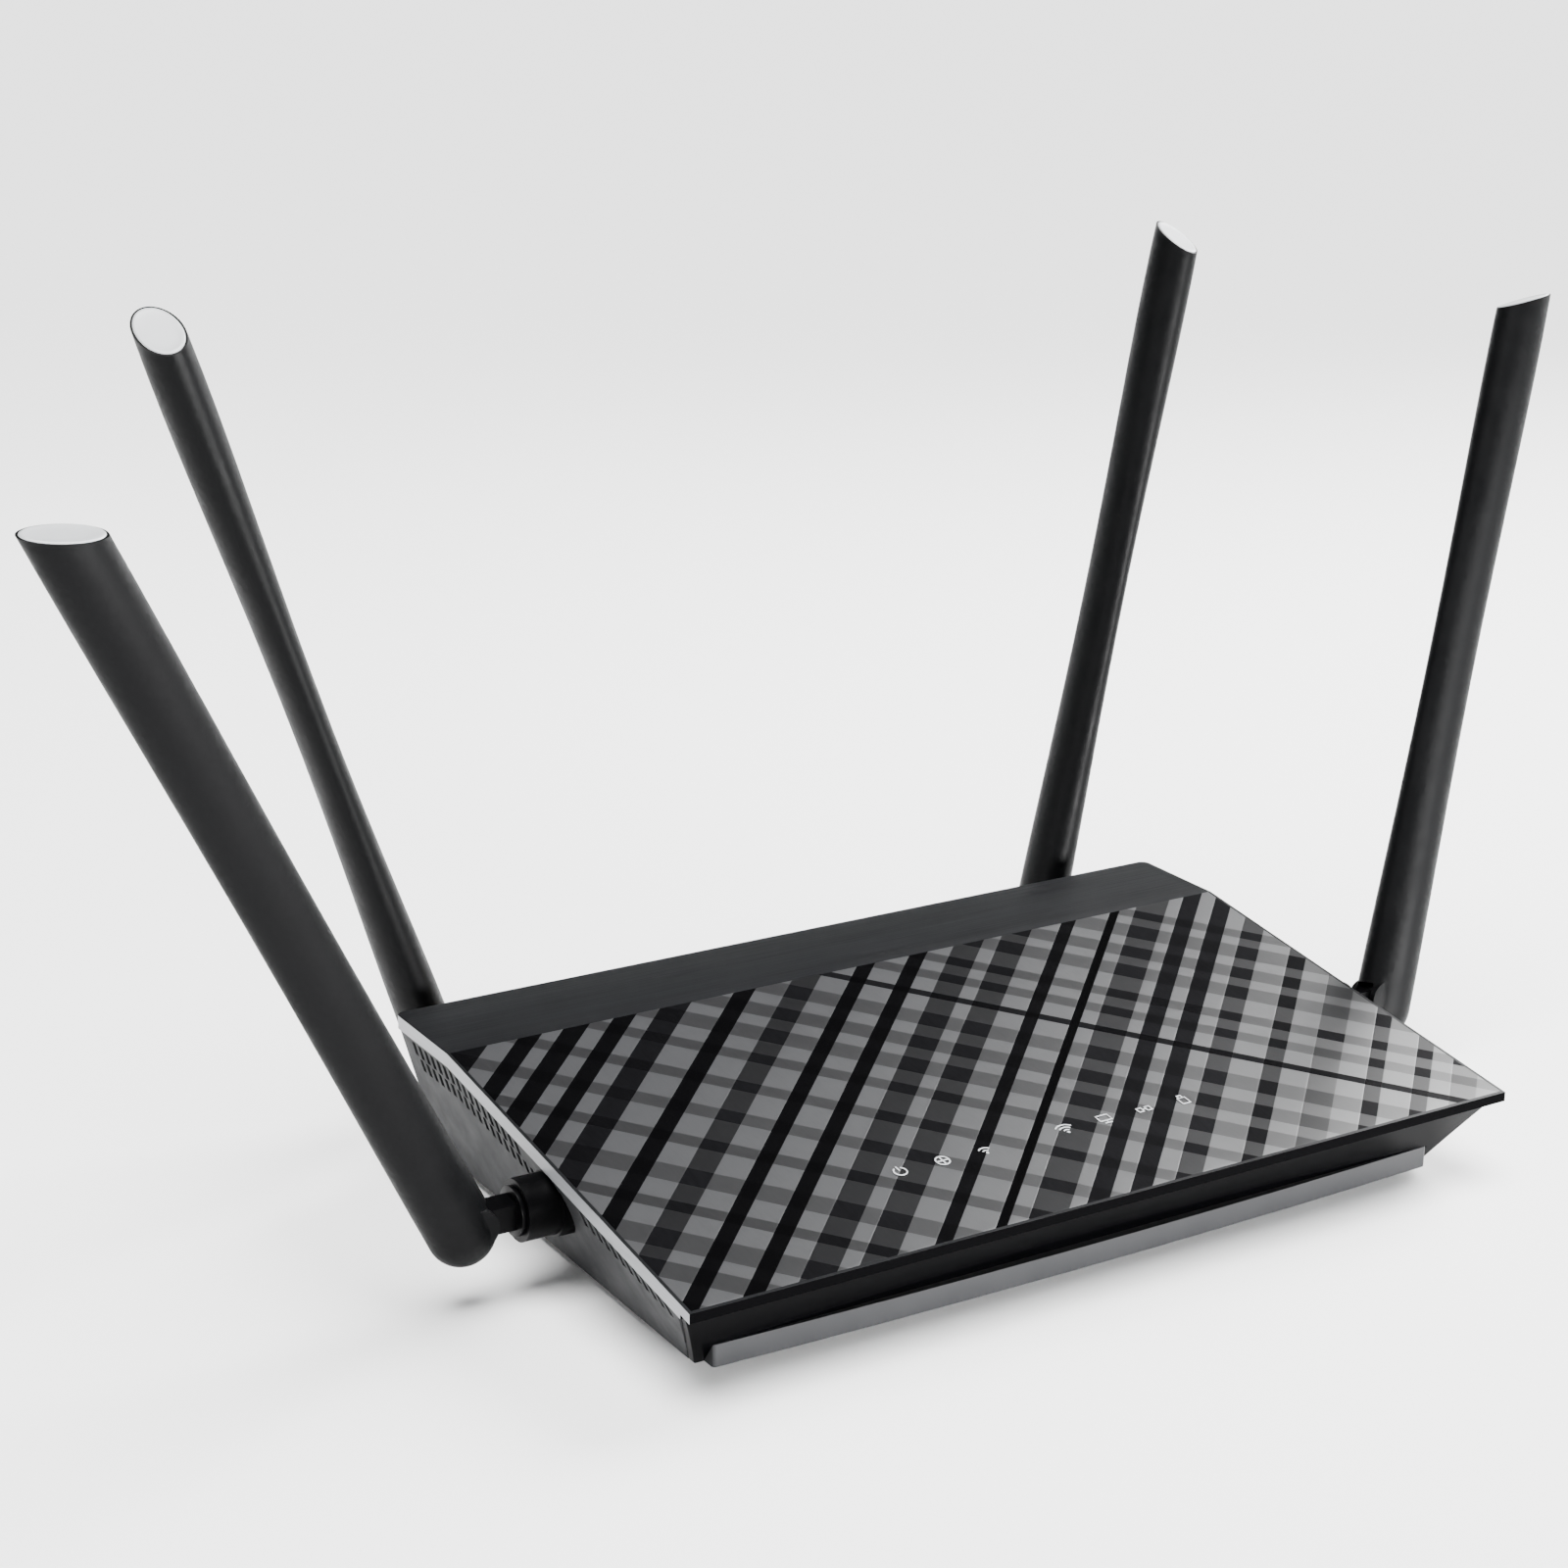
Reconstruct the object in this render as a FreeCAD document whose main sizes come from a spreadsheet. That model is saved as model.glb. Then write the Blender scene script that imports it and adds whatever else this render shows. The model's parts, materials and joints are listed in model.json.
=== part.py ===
import FreeCAD, Part

import math
import os
import re

import Sketcher

# A free-standing wireless router with four swivelling antennas.
# Frame: origin at the centre of the footprint on the resting plane, +Z up, +Y to the connector panel,
# so the low front edge faces -Y. Millimetres.

doc = FreeCAD.newDocument("wireless_router")
Vector = FreeCAD.Vector
Rotation = FreeCAD.Rotation
Placement = FreeCAD.Placement

# ---------------------------------------------------------------------------
# Driving dimensions
# ---------------------------------------------------------------------------
SIZES = {
    # casing
    "case_width": 205.0,
    "case_depth": 128.0,
    "rear_height": 35.8,
    "front_height": 21.5,
    "strip_depth": 26.0,
    "cover_thick": 2.1,
    "rim_drop": 3.0,
    "rim_thick": 2.2,
    "rim_reveal": 0.3,
    "wall": 2.2,
    "floor_thick": 2.0,
    "foot_height": 2.2,
    "foot_radius": 6.0,
    "foot_x": 72.0,
    "foot_rear_y": 50.0,
    "foot_front_y": 38.0,
    "base_half_width": 93.2,
    "base_front": 50.0,
    "band_height": 4.8,
    "band_half_width": 91.0,
    "band_end": 53.2,
    "band_bow": 1.8,
    "fascia_thick": 2.5,
    "fascia_top_front": 63.0,
    "lip_depth": 3.4,
    "band_edge_radius": 0.8,
    "vent_pitch": 3.0,
    "vent_slot": 1.5,
    "floor_vent_pitch": 5.0,
    "floor_vent_slot": 2.0,
    # board and fastening
    "board_bottom": 8.0,
    "board_thick": 1.6,
    "board_width": 160.0,
    "board_front": 46.0,
    "board_rear": 59.4,
    "post_radius": 3.6,
    "screw_radius": 1.5,
    "screw_head_radius": 2.8,
    "post_x": 86.0,
    "post_rear_y": 34.0,
    "post_front_y": 34.0,
    "board_screw_x": 73.0,
    "board_screw_rear_y": 40.0,
    "board_screw_front_y": 40.0,
    "keyhole_spacing": 100.0,
    "keyhole_radius": 4.0,
    "keyhole_slot": 4.0,
    "keyhole_rise": 9.0,
    "light_radius": 1.1,
    "light_pitch": 10.3,
    "light_first_x": -39.1,
    "light_y": -38.6,
    # connector panel
    "jack_height": 13.5,
    "jack_depth": 19.0,
    "jack_width": 15.6,
    "lan_width": 60.4,
    "lan_x": -33.6,
    "port_pitch": 14.8,
    "wan_x": 6.6,
    "usb_x": 25.0,
    "usb_width": 13.1,
    "usb_height": 5.7,
    "usb_depth": 14.0,
    "reset_x": 37.5,
    "power_button_x": 48.0,
    "inlet_x": 63.0,
    "wps_x": -69.6,
    "inlet_width": 9.0,
    "inlet_height": 11.0,
    "inlet_depth": 14.0,
    "button_radius": 3.9,
    "wps_radius": 2.7,
    "button_axis": 15.5,
    "button_gap": 0.3,
    "button_travel": 2.5,
    "wps_travel": 1.2,
    "reset_travel": 0.8,
    # antennas
    "socket_height": 19.2,
    "side_socket_y": -5.0,
    "rear_socket_x": 85.0,
    "collar_radius": 6.5,
    "collar_length": 9.0,
    "spigot_radius": 5.0,
    "spigot_depth": 4.0,
    "shaft_radius": 3.0,
    "running_gap": 0.05,
    "pin_radius": 1.5,
    "pin_cap": 1.2,
    "ear_half": 4.4,
    "pin_reach": 19.4,
    "eye_radius": 4.6,
    "tongue_half": 2.4,
    "blade_offset": 2.0,
    "blade_length": 178.0,
    "blade_half_width": 7.2,
    "blade_half_thick": 5.6,
    "tip_drop": 8.5,
    "coax_radius": 0.7,
}

sheet = doc.addObject("Spreadsheet::Sheet", "Sizes")
for row, (alias, number) in enumerate(SIZES.items(), start=1):
    sheet.set(f"A{row}", alias)
    sheet.set(f"B{row}", str(number))
    sheet.setAlias(f"B{row}", alias)
doc.recompute()

size = {alias: float(sheet.get(alias)) for alias in SIZES}


def formula(text):
    """Turn size names in text into references to the sheet's cells."""
    return re.sub(r"[a-z][a-z_]+", lambda word: "Sizes." + word.group(), str(text))


def bind(target, prop, text):
    """Bind a property to a formula of sheet names."""
    target.setExpression(prop, formula(text))


# ---------------------------------------------------------------------------
# Modelling helpers
# ---------------------------------------------------------------------------
subparts = []


def keep(item, label):
    """Name a finished sub-part and list it for export."""
    item.Label = label
    subparts.append(item)
    return item


def set_low_corner(item, low):
    for axis, text in zip("xyz", low):
        bind(item, ".Placement.Base." + axis, text)


def box(name, low, extent):
    """A box from its low corner and its three sizes, each a formula."""
    item = doc.addObject("Part::Box", name)
    for prop, text in zip(("Length", "Width", "Height"), extent):
        bind(item, prop, text)
    set_low_corner(item, low)
    return item


def centred_box(name, centre_x, low_y, low_z, extent):
    """A box centred on a formula in X."""
    return box(name, (f"{centre_x} - ({extent[0]}) / 2", low_y, low_z), extent)


AXIS_TURNS = {
    "x": Rotation(Vector(0, 1, 0), 90),
    "y": Rotation(Vector(1, 0, 0), -90),
    "z": Rotation(),
}


def cylinder(name, start, axis, radius, length):
    """A cylinder from its start point along +axis."""
    item = doc.addObject("Part::Cylinder", name)
    item.Placement = Placement(Vector(), AXIS_TURNS[axis])
    bind(item, "Radius", radius)
    bind(item, "Height", length)
    set_low_corner(item, start)
    return item


def fuse(name, pieces):
    item = doc.addObject("Part::MultiFuse", name)
    item.Shapes = pieces
    return item


def cut(name, base, tools):
    tool = tools[0] if len(tools) == 1 else fuse(name + "_tools", tools)
    item = doc.addObject("Part::Cut", name)
    item.Base = base
    item.Tool = tool
    return item


def common(name, pieces):
    item = doc.addObject("Part::MultiCommon", name)
    item.Shapes = pieces
    return item


def upright_edges(shape, wanted):
    """Numbers of a shape's vertical edges whose middle point is wanted."""
    numbers = []
    for number, edge in enumerate(shape.Edges, start=1):
        bounds = edge.BoundBox
        if bounds.XLength + bounds.YLength < 0.01 and wanted(edge.CenterOfMass):
            numbers.append(number)
    return numbers


def group(name, pieces):
    """Several separate solids that share one node."""
    item = doc.addObject("Part::Compound", name)
    item.Links = pieces
    return item


def origin_plane(body, role):
    return next(item for item in body.Origin.OriginFeatures if item.Role == role)


def new_body(name):
    return doc.addObject("PartDesign::Body", name)


def sketch_on(body, name, role, offset="0"):
    """An empty sketch on one of the body's origin planes, moved along the plane's normal."""
    sketch = body.newObject("Sketcher::SketchObject", name)
    sketch.AttachmentSupport = [(origin_plane(body, role), "")]
    sketch.MapMode = "FlatFace"
    bind(sketch, ".AttachmentOffset.Base.z", offset)
    return sketch


def pin_point(sketch, edge, point, text_x, text_y):
    """Hold one end of a sketch edge at coordinates given as formulas."""
    for kind, text in (("DistanceX", text_x), ("DistanceY", text_y)):
        number = sketch.addConstraint(Sketcher.Constraint(kind, -1, 1, edge, point, 1.0))
        bind(sketch, f"Constraints[{number}]", text)


def polygon(sketch, points):
    """A closed polygon in a sketch, each corner held by formulas."""
    first = sketch.GeometryCount
    total = len(points)
    rough = [
        Vector(30 * math.cos(2 * math.pi * step / total), 30 * math.sin(2 * math.pi * step / total), 0)
        for step in range(total)
    ]
    for step in range(total):
        sketch.addGeometry(Part.LineSegment(rough[step], rough[(step + 1) % total]), False)
    for step in range(total):
        following = first + (step + 1) % total
        sketch.addConstraint(Sketcher.Constraint("Coincident", first + step, 2, following, 1))
    for step, (text_x, text_y) in enumerate(points):
        pin_point(sketch, first + step, 1, text_x, text_y)


def circle(sketch, text_x, text_y, radius):
    edge = sketch.addGeometry(Part.Circle(Vector(5, 5, 0), Vector(0, 0, 1), 1.0), False)
    pin_point(sketch, edge, 3, text_x, text_y)
    number = sketch.addConstraint(Sketcher.Constraint("Radius", edge, 1.0))
    bind(sketch, f"Constraints[{number}]", radius)


def rectangle(low_x, low_y, high_x, high_y):
    return [(low_x, low_y), (high_x, low_y), (high_x, high_y), (low_x, high_y)]


def pad(body, sketch, length, midplane=False, reverse=False):
    feature = body.newObject("PartDesign::Pad", sketch.Name + "_pad")
    feature.Profile = sketch
    bind(feature, "Length", length)
    feature.Midplane = midplane
    feature.Reversed = reverse
    return feature


def pocket(body, sketch, length, midplane=False, reverse=False):
    """A pocket that must remove material."""
    doc.recompute()
    before = body.Shape.Volume
    feature = body.newObject("PartDesign::Pocket", sketch.Name + "_pocket")
    feature.Profile = sketch
    bind(feature, "Length", length)
    feature.Midplane = midplane
    feature.Reversed = reverse
    doc.recompute()
    if body.Shape.Volume > before - 0.01:
        raise RuntimeError(sketch.Name + " removes nothing")
    return feature


# ---------------------------------------------------------------------------
# Casing
# ---------------------------------------------------------------------------
BEND_Y = "(case_depth / 2 - strip_depth)"
SLOPE = "((rear_height - front_height) / (case_depth - strip_depth))"
REAR_WALL = "(case_depth / 2 - 2)"
BOARD_TOP = "board_bottom + board_thick"


def panel_height(y_text, drop):
    """Height of the sloping panel's surface at a given Y, less a drop."""
    return f"(rear_height - ({BEND_Y} - ({y_text})) * {SLOPE} - ({drop}))"


def build_cover():
    body = new_body("cover_shell")
    front = "-case_depth / 2"
    rear = "case_depth / 2"
    profile = sketch_on(body, "cover_profile", "YZ_Plane")
    polygon(profile, [
        (front, "front_height"),
        (front, "front_height - cover_thick"),
        (f"{front} + lip_depth", panel_height(f"{front} + lip_depth", "cover_thick")),
        (f"{front} + lip_depth", panel_height(f"{front} + lip_depth", "rim_drop")),
        (BEND_Y, "rear_height - rim_drop"),
        (rear, "rear_height - rim_drop"),
        (rear, "rear_height"),
        (BEND_Y, "rear_height"),
    ])
    pad(body, profile, "case_width", midplane=True)
    hollow = sketch_on(body, "cover_hollow", "YZ_Plane")
    inside = f"{front} + lip_depth - 0.1"
    polygon(hollow, [
        (inside, panel_height(inside, "cover_thick")),
        (inside, panel_height(inside, "rim_drop + 2")),
        (REAR_WALL, "rear_height - rim_drop - 8"),
        (REAR_WALL, "rear_height - cover_thick"),
        (BEND_Y, "rear_height - cover_thick"),
    ])
    pocket(body, hollow, "case_width - 2 * rim_thick", midplane=True)
    corners = body.newObject("PartDesign::Fillet", "cover_rear_corners")
    doc.recompute()
    tip = [item for item in body.Group if item.isDerivedFrom("PartDesign::Pocket")][-1]
    outer = size["case_width"] / 2 - 0.01
    numbers = upright_edges(tip.Shape, lambda point: abs(point.x) > outer and point.y > 0)
    corners.Base = (tip, [f"Edge{number}" for number in numbers])
    corners.Radius = 2.0
    doc.recompute()
    posts = []
    holes = []
    for side in (-1, 1):
        for label, y_text in (("rear", "post_rear_y"), ("front", "-post_front_y")):
            name = f"cover_post_{label}_{side + 1}"
            top = panel_height(y_text, "cover_thick - 0.5")
            bottom = "board_bottom + 0.5"
            posts.append(cylinder(name, (f"{side} * post_x", y_text, bottom), "z", "post_radius",
                                  f"{top} - ({bottom})"))
            holes.append(cylinder(name + "_hole", (f"{side} * post_x", y_text, bottom), "z",
                                  "screw_radius", "8.0"))
    for step in light_steps():
        holes.append(cylinder(f"light_hole_{step}", (light_x(step), "light_y", "10"), "z",
                              "light_radius", "30"))
    return keep(cut("cover", fuse("cover_solid", [body] + posts), holes), "top_cover")


def light_steps():
    """Places of the indicators on a regular pitch; one place stays empty."""
    return [0, 1, 2, 4, 5, 6, 7]


def light_x(step):
    return f"light_first_x + {step} * light_pitch"


def trapezoid(inset, floor, drop, at_bend):
    """Cross-section of the casing: upright sides that lean out towards the cover."""
    rim = "rear_height - rim_drop" if at_bend else panel_height("-fascia_top_front", "rim_drop")
    top = f"{rim} + {drop}"
    low = f"base_half_width - ({inset})"
    high = f"case_width / 2 - rim_reveal - ({inset})"
    return [(f"-({low})", floor), (low, floor), (high, top), (f"-({high})", top)]


def casing_loft(name, inset, floor, rear, front_station, drop="0"):
    """Loft of the casing's section from front to rear through the cover's bend line."""
    body = new_body(name)
    stations = ((front_station, False), (BEND_Y, True), (rear, True))
    sections = []
    for number, (station, at_bend) in enumerate(stations):
        sketch = sketch_on(body, f"{name}_section_{number}", "XZ_Plane", f"-({station})")
        polygon(sketch, trapezoid(inset, floor, drop, at_bend))
        sections.append(sketch)
    loft = body.newObject("PartDesign::AdditiveLoft", name + "_loft")
    loft.Profile = sections[0]
    loft.Sections = sections[1:]
    loft.Ruled = True
    return body


def front_wedge(name, setback):
    """The space in front of the casing's raked front, set back along Y."""
    body = new_body(name)
    profile = sketch_on(body, name + "_profile", "YZ_Plane")
    top = panel_height("-fascia_top_front", "0")
    polygon(profile, [
        ("-case_depth", "0"),
        (f"-base_front + {setback}", "0"),
        (f"-base_front + {setback}", "foot_height"),
        (f"-fascia_top_front + {setback}", top),
        (f"-fascia_top_front + {setback}", f"{top} + 20"),
        ("-case_depth", f"{top} + 20"),
    ])
    pad(body, profile, "case_width + 20", midplane=True)
    return body


def front_band():
    """Low front band: a gently bowed face with square ends, and the floor strip behind it."""
    bow_radius = "(band_half_width ^ 2 + band_bow ^ 2) / (2 * band_bow)"
    slab = box("band_slab", ("-band_half_width", "-case_depth / 2", "foot_height"),
               ("2 * band_half_width", "case_depth / 2 - 47.5", "band_height"))
    disc = cylinder("band_disc", ("0", f"{bow_radius} - band_end - band_bow", "0"), "z", bow_radius, "20")
    bowed = common("band_bowed", [slab, disc])
    doc.recompute()
    rounded = doc.addObject("Part::Fillet", "band_rounded")
    rounded.Base = bowed
    radius = size["band_edge_radius"]
    front_edges = upright_edges(bowed.Shape, lambda point: point.y < -size["base_front"])
    rounded.Edges = [(number, radius, radius) for number in front_edges]
    hollow = box("band_hollow", ("-band_half_width - 1", "-band_end + wall", "foot_height + floor_thick"),
                 ("2 * band_half_width + 2", "20", "20"))
    return cut("band", rounded, [hollow])


def rim_height(y):
    """Height of the lower edge of the cover's rim at a given Y."""
    bend = size["case_depth"] / 2 - size["strip_depth"]
    slope = (size["rear_height"] - size["front_height"]) / (size["case_depth"] - size["strip_depth"])
    return size["rear_height"] - max(0.0, bend - y) * slope - size["rim_drop"]


def vent_tools():
    """Slots in both side walls, just below the cover's rim, in rows that follow its slope."""
    slot_width = size["vent_slot"]
    reach = size["case_width"]
    solids = []

    def add_row(first_y, last_y, drop, height):
        y = first_y
        while y >= last_y:
            low = Vector(-reach / 2, y - slot_width / 2, rim_height(y) - drop - height)
            solids.append(Part.makeBox(reach, slot_width, height, low))
            y -= size["vent_pitch"]

    add_row(56.0, 8.0, 1.0, 3.2)
    add_row(54.5, 3.5, 4.8, 3.0)
    add_row(-20.0, -53.0, 1.0, 3.6)
    tool = doc.addObject("Part::Feature", "vent_slots")
    tool.Shape = Part.makeCompound(solids)
    return tool


def floor_vent_tools():
    """Rows of cooling slots through the floor, under the board."""
    slot_width = size["floor_vent_slot"]
    slot_length = 12.0
    solids = []
    for row_y in (-24.0, -4.0, 16.0):
        for step in range(-7, 8):
            x = step * size["floor_vent_pitch"]
            low = Vector(x - slot_width / 2, row_y - slot_length / 2, 0)
            solids.append(Part.makeBox(slot_width, slot_length, 10.0, low))
    tool = doc.addObject("Part::Feature", "floor_slots")
    tool.Shape = Part.makeCompound(solids)
    return tool


def keyhole_tools():
    """Two wall-hanging keyholes in the floor, slots towards the connector side."""
    tools = []
    for side in (-1, 1):
        x_text = f"{side} * keyhole_spacing / 2"
        name = f"keyhole_{side + 1}"
        tools.append(cylinder(name, (x_text, "0", "0"), "z", "keyhole_radius", "10"))
        tools.append(box(name + "_slot", (f"{x_text} - keyhole_slot / 2", "0", "0"),
                         ("keyhole_slot", "keyhole_rise", "10")))
        tools.append(cylinder(name + "_end", (x_text, "keyhole_rise", "0"), "z",
                              "keyhole_slot / 2", "10"))
    return tools


def panel_cutouts():
    """Openings of the connector panel."""
    deep = "8"
    start = f"{REAR_WALL} - 6"
    return [
        centred_box("lan_cutout", "lan_x", start, BOARD_TOP, ("lan_width", deep, "jack_height")),
        centred_box("wan_cutout", "wan_x", start, BOARD_TOP, ("jack_width", deep, "jack_height")),
        centred_box("usb_cutout", "usb_x", start, BOARD_TOP, ("usb_width", deep, "usb_height")),
        centred_box("inlet_cutout", "inlet_x", start, BOARD_TOP, ("inlet_width", deep, "inlet_height")),
        cylinder("power_hole", ("power_button_x", start, "button_axis"), "y",
                 "button_radius + button_gap", deep),
        cylinder("wps_hole", ("wps_x", start, "button_axis"), "y", "wps_radius + button_gap", deep),
        cylinder("reset_hole", ("reset_x", start, "button_axis"), "y", "1.3", deep),
    ]


def boss_pieces():
    """Bosses for the case screws and standoffs for the board, with their holes."""
    solids = []
    holes = []
    floor_top = "foot_height + floor_thick - 0.5"
    rise = "board_bottom + 0.5 - (foot_height + floor_thick - 0.5)"
    for side in (-1, 1):
        for label, y_text in (("rear", "post_rear_y"), ("front", "-post_front_y")):
            name = f"boss_{label}_{side + 1}"
            x_text = f"{side} * post_x"
            solids.append(cylinder(name, (x_text, y_text, floor_top), "z", "post_radius + 0.4", rise))
            holes.append(cylinder(name + "_hole", (x_text, y_text, "0"), "z", "screw_radius + 0.2", "10"))
            holes.append(cylinder(name + "_seat", (x_text, y_text, "0"), "z",
                                  "screw_head_radius + 0.3", "foot_height + 2.2"))
    for side in (-1, 1):
        for label, y_text in (("rear", "board_screw_rear_y"), ("front", "-board_screw_front_y")):
            name = f"standoff_{label}_{side + 1}"
            x_text = f"{side} * board_screw_x"
            solids.append(cylinder(name, (x_text, y_text, floor_top), "z", "3.2",
                                   "board_bottom - (foot_height + floor_thick - 0.5)"))
            holes.append(cylinder(name + "_hole", (x_text, y_text, "foot_height + 1"), "z", "1.0", "10"))
    return solids, holes


def socket_tools():
    """Round holes for the four antenna collars' spigots."""
    reach = "spigot_depth + 12"
    tools = []
    for side in (-1, 1):
        wall_x = "case_width / 2 - 12" if side > 0 else "-case_width / 2 - 4"
        tools.append(cylinder(f"side_socket_{side + 1}", (wall_x, "side_socket_y", "socket_height"), "x",
                              "spigot_radius", reach))
        tools.append(cylinder(f"rear_socket_{side + 1}",
                              (f"{side} * rear_socket_x", f"{REAR_WALL} - 6", "socket_height"), "y",
                              "spigot_radius", reach))
    return tools


def build_bottom_case():
    floor_top = "foot_height + floor_thick"
    outer = casing_loft("case_outer", "0", "foot_height", REAR_WALL, "-fascia_top_front")
    inner = casing_loft("case_inner", "wall", floor_top, f"{REAR_WALL} - wall", "-case_depth / 2 - 6", "4")
    walls = cut("case_walls", outer, [inner, front_wedge("case_front_cut", "fascia_thick")])
    bosses, holes = boss_pieces()
    solid = fuse("case_solid", [walls, front_band()] + bosses)
    tools = holes + keyhole_tools() + panel_cutouts() + socket_tools()
    tools += [vent_tools(), floor_vent_tools()]
    return keep(cut("case", solid, tools), "bottom_case")


def build_fascia(cover):
    """Glossy raked piece under the cover's front edge, with a post at each end of the band."""
    outer = casing_loft("fascia_outer", "0", "foot_height", REAR_WALL, "-fascia_top_front",
                        "rim_drop - cover_thick")
    slab = cut("fascia_slab", outer, [front_wedge("fascia_front_cut", "0")])
    raked = common("fascia_raked", [slab, front_wedge("fascia_depth", "fascia_thick")])
    recess = box("fascia_recess", ("-band_half_width", "-case_depth", "0"),
                 ("2 * band_half_width", "case_depth", "foot_height + band_height"))
    return keep(cut("fascia", raked, [recess, cover]), "front_fascia")


def build_fastening():
    """Rubber feet, case screws and board screws; each kind is one group of separate solids."""
    feet = []
    case_screws = []
    board_screws = []
    seat = "foot_height + 2.2"
    for side in (-1, 1):
        for label, sign in (("rear", 1), ("front", -1)):
            name = f"{label}_{side + 1}"
            feet.append(cylinder("foot_" + name, (f"{side} * foot_x", f"{sign} * foot_{label}_y", "0"),
                                 "z", "foot_radius", "foot_height"))
            x_text = f"{side} * post_x"
            y_text = f"{sign} * post_{label}_y"
            head = cylinder("case_head_" + name, (x_text, y_text, f"{seat} - 1.6"), "z",
                            "screw_head_radius", "1.6")
            shank = cylinder("case_shank_" + name, (x_text, y_text, f"{seat} - 0.5"), "z",
                             "screw_radius", "10")
            recess = box("case_slot_" + name, (f"{x_text} - 2", f"{y_text} - 0.4", "0"),
                         ("4", "0.8", f"{seat} - 0.8"))
            pin = fuse("case_pin_" + name, [head, shank])
            case_screws.append(cut("case_screw_" + name, pin, [recess]))
            x_text = f"{side} * board_screw_x"
            y_text = f"{sign} * board_screw_{label}_y"
            head = cylinder("board_head_" + name, (x_text, y_text, BOARD_TOP), "z", "2.4", "1.5")
            shank = cylinder("board_shank_" + name, (x_text, y_text, "foot_height + floor_thick"), "z",
                             "1.0", f"{BOARD_TOP} - (foot_height + floor_thick) + 0.5")
            recess = box("board_slot_" + name, (f"{x_text} - 2", f"{y_text} - 0.35", f"{BOARD_TOP} + 0.8"),
                         ("4", "0.7", "2"))
            pin = fuse("board_pin_" + name, [head, shank])
            board_screws.append(cut("board_screw_" + name, pin, [recess]))
    keep(group("feet", feet), "rubber_feet")
    keep(group("case_screw_group", case_screws), "case_screws")
    keep(group("board_screw_group", board_screws), "board_screws")


# ---------------------------------------------------------------------------
# Board and what is on it
# ---------------------------------------------------------------------------
def chip(label, x_low, y_low, extent, low="0"):
    """A square-edged part standing on the board, from its low corner."""
    return keep(box(label + "_block", (x_low, y_low, f"{BOARD_TOP} + {low}"), extent), label)


def build_board():
    body = new_body("board_plate")
    plan = sketch_on(body, "board_plan", "XY_Plane", "board_bottom")
    polygon(plan, rectangle("-board_width / 2", "-board_front", "board_width / 2", "board_rear"))
    for side in (-1, 1):
        circle(plan, f"{side} * board_screw_x", "board_screw_rear_y", "1.0")
        circle(plan, f"{side} * board_screw_x", "-board_screw_front_y", "1.0")
    pad(body, plan, "board_thick")
    keep(body, "main_board")


def shield_can(label, x_low, y_low):
    """A thin drawn cover over a radio, open towards the board."""
    outer = box(label + "_outer", (x_low, y_low, BOARD_TOP), ("30", "24", "3.4"))
    inner = box(label + "_inner", (f"{x_low} + 0.3", f"{y_low} + 0.3", f"{BOARD_TOP} - 1"),
                ("29.4", "23.4", "4.1"))
    keep(cut(label + "_can", outer, [inner]), label)


def heat_sink():
    """Finned block on the processor."""
    base_low = f"{BOARD_TOP} + 1.8"
    block = box("sink_block", ("-14", "-16", base_low), ("34", "34", "9"))
    gaps = [
        box(f"sink_gap_{step}", (f"-14 + 2 + {step} * 4", "-17", f"{base_low} + 2"), ("2.2", "36", "8"))
        for step in range(8)
    ]
    keep(cut("sink", block, gaps), "heat_sink")


def build_electronics():
    build_board()
    chip("processor", "-6", "-8", ("18", "18", "1.2"))
    chip("thermal_pad", "-5", "-7", ("16", "16", "0.6"), "1.2")
    heat_sink()
    chip("memory_chip", "26", "-6", ("12.5", "8", "1.1"))
    chip("flash_chip", "26", "8", ("8", "6", "1.5"))
    chip("switch_chip", "-36", "10", ("12", "12", "1.0"))
    shield_can("front_shield_can", "-58", "-24")
    shield_can("side_shield_can", "36", "-32")
    radios = [
        box("radio_front", ("-48", "-16", BOARD_TOP), ("9", "9", "0.9")),
        box("radio_side", ("46", "-24", BOARD_TOP), ("9", "9", "0.9")),
    ]
    keep(group("radios", radios), "radio_chips")
    magnetics = [
        box(f"transformer_{step}", (f"-58 + {step} * 20", "27", BOARD_TOP), ("15", "10", "5.5"))
        for step in range(4)
    ]
    keep(group("magnetics", magnetics), "network_transformers")
    coils = [
        box(f"coil_{step}", (f"44 + {step} * 9", "12", BOARD_TOP), ("7", "7", "4"))
        for step in range(3)
    ]
    keep(group("coils", coils), "power_inductors")
    cans = [
        cylinder(f"capacitor_{step}", (f"42 + {step} * 9", "27", BOARD_TOP), "z", "3.15", "8")
        for step in range(4)
    ]
    keep(group("capacitor_cans", cans), "filter_capacitors")
    chip("clock_crystal", "-16", "20", ("5", "3.2", "1.0"))
    leds = [
        box(f"led_{step}", (f"{light_x(step)} - 0.8", "light_y - 0.4", BOARD_TOP), ("1.6", "0.8", "0.7"))
        for step in light_steps()
    ]
    keep(group("leds", leds), "status_leds")


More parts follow.
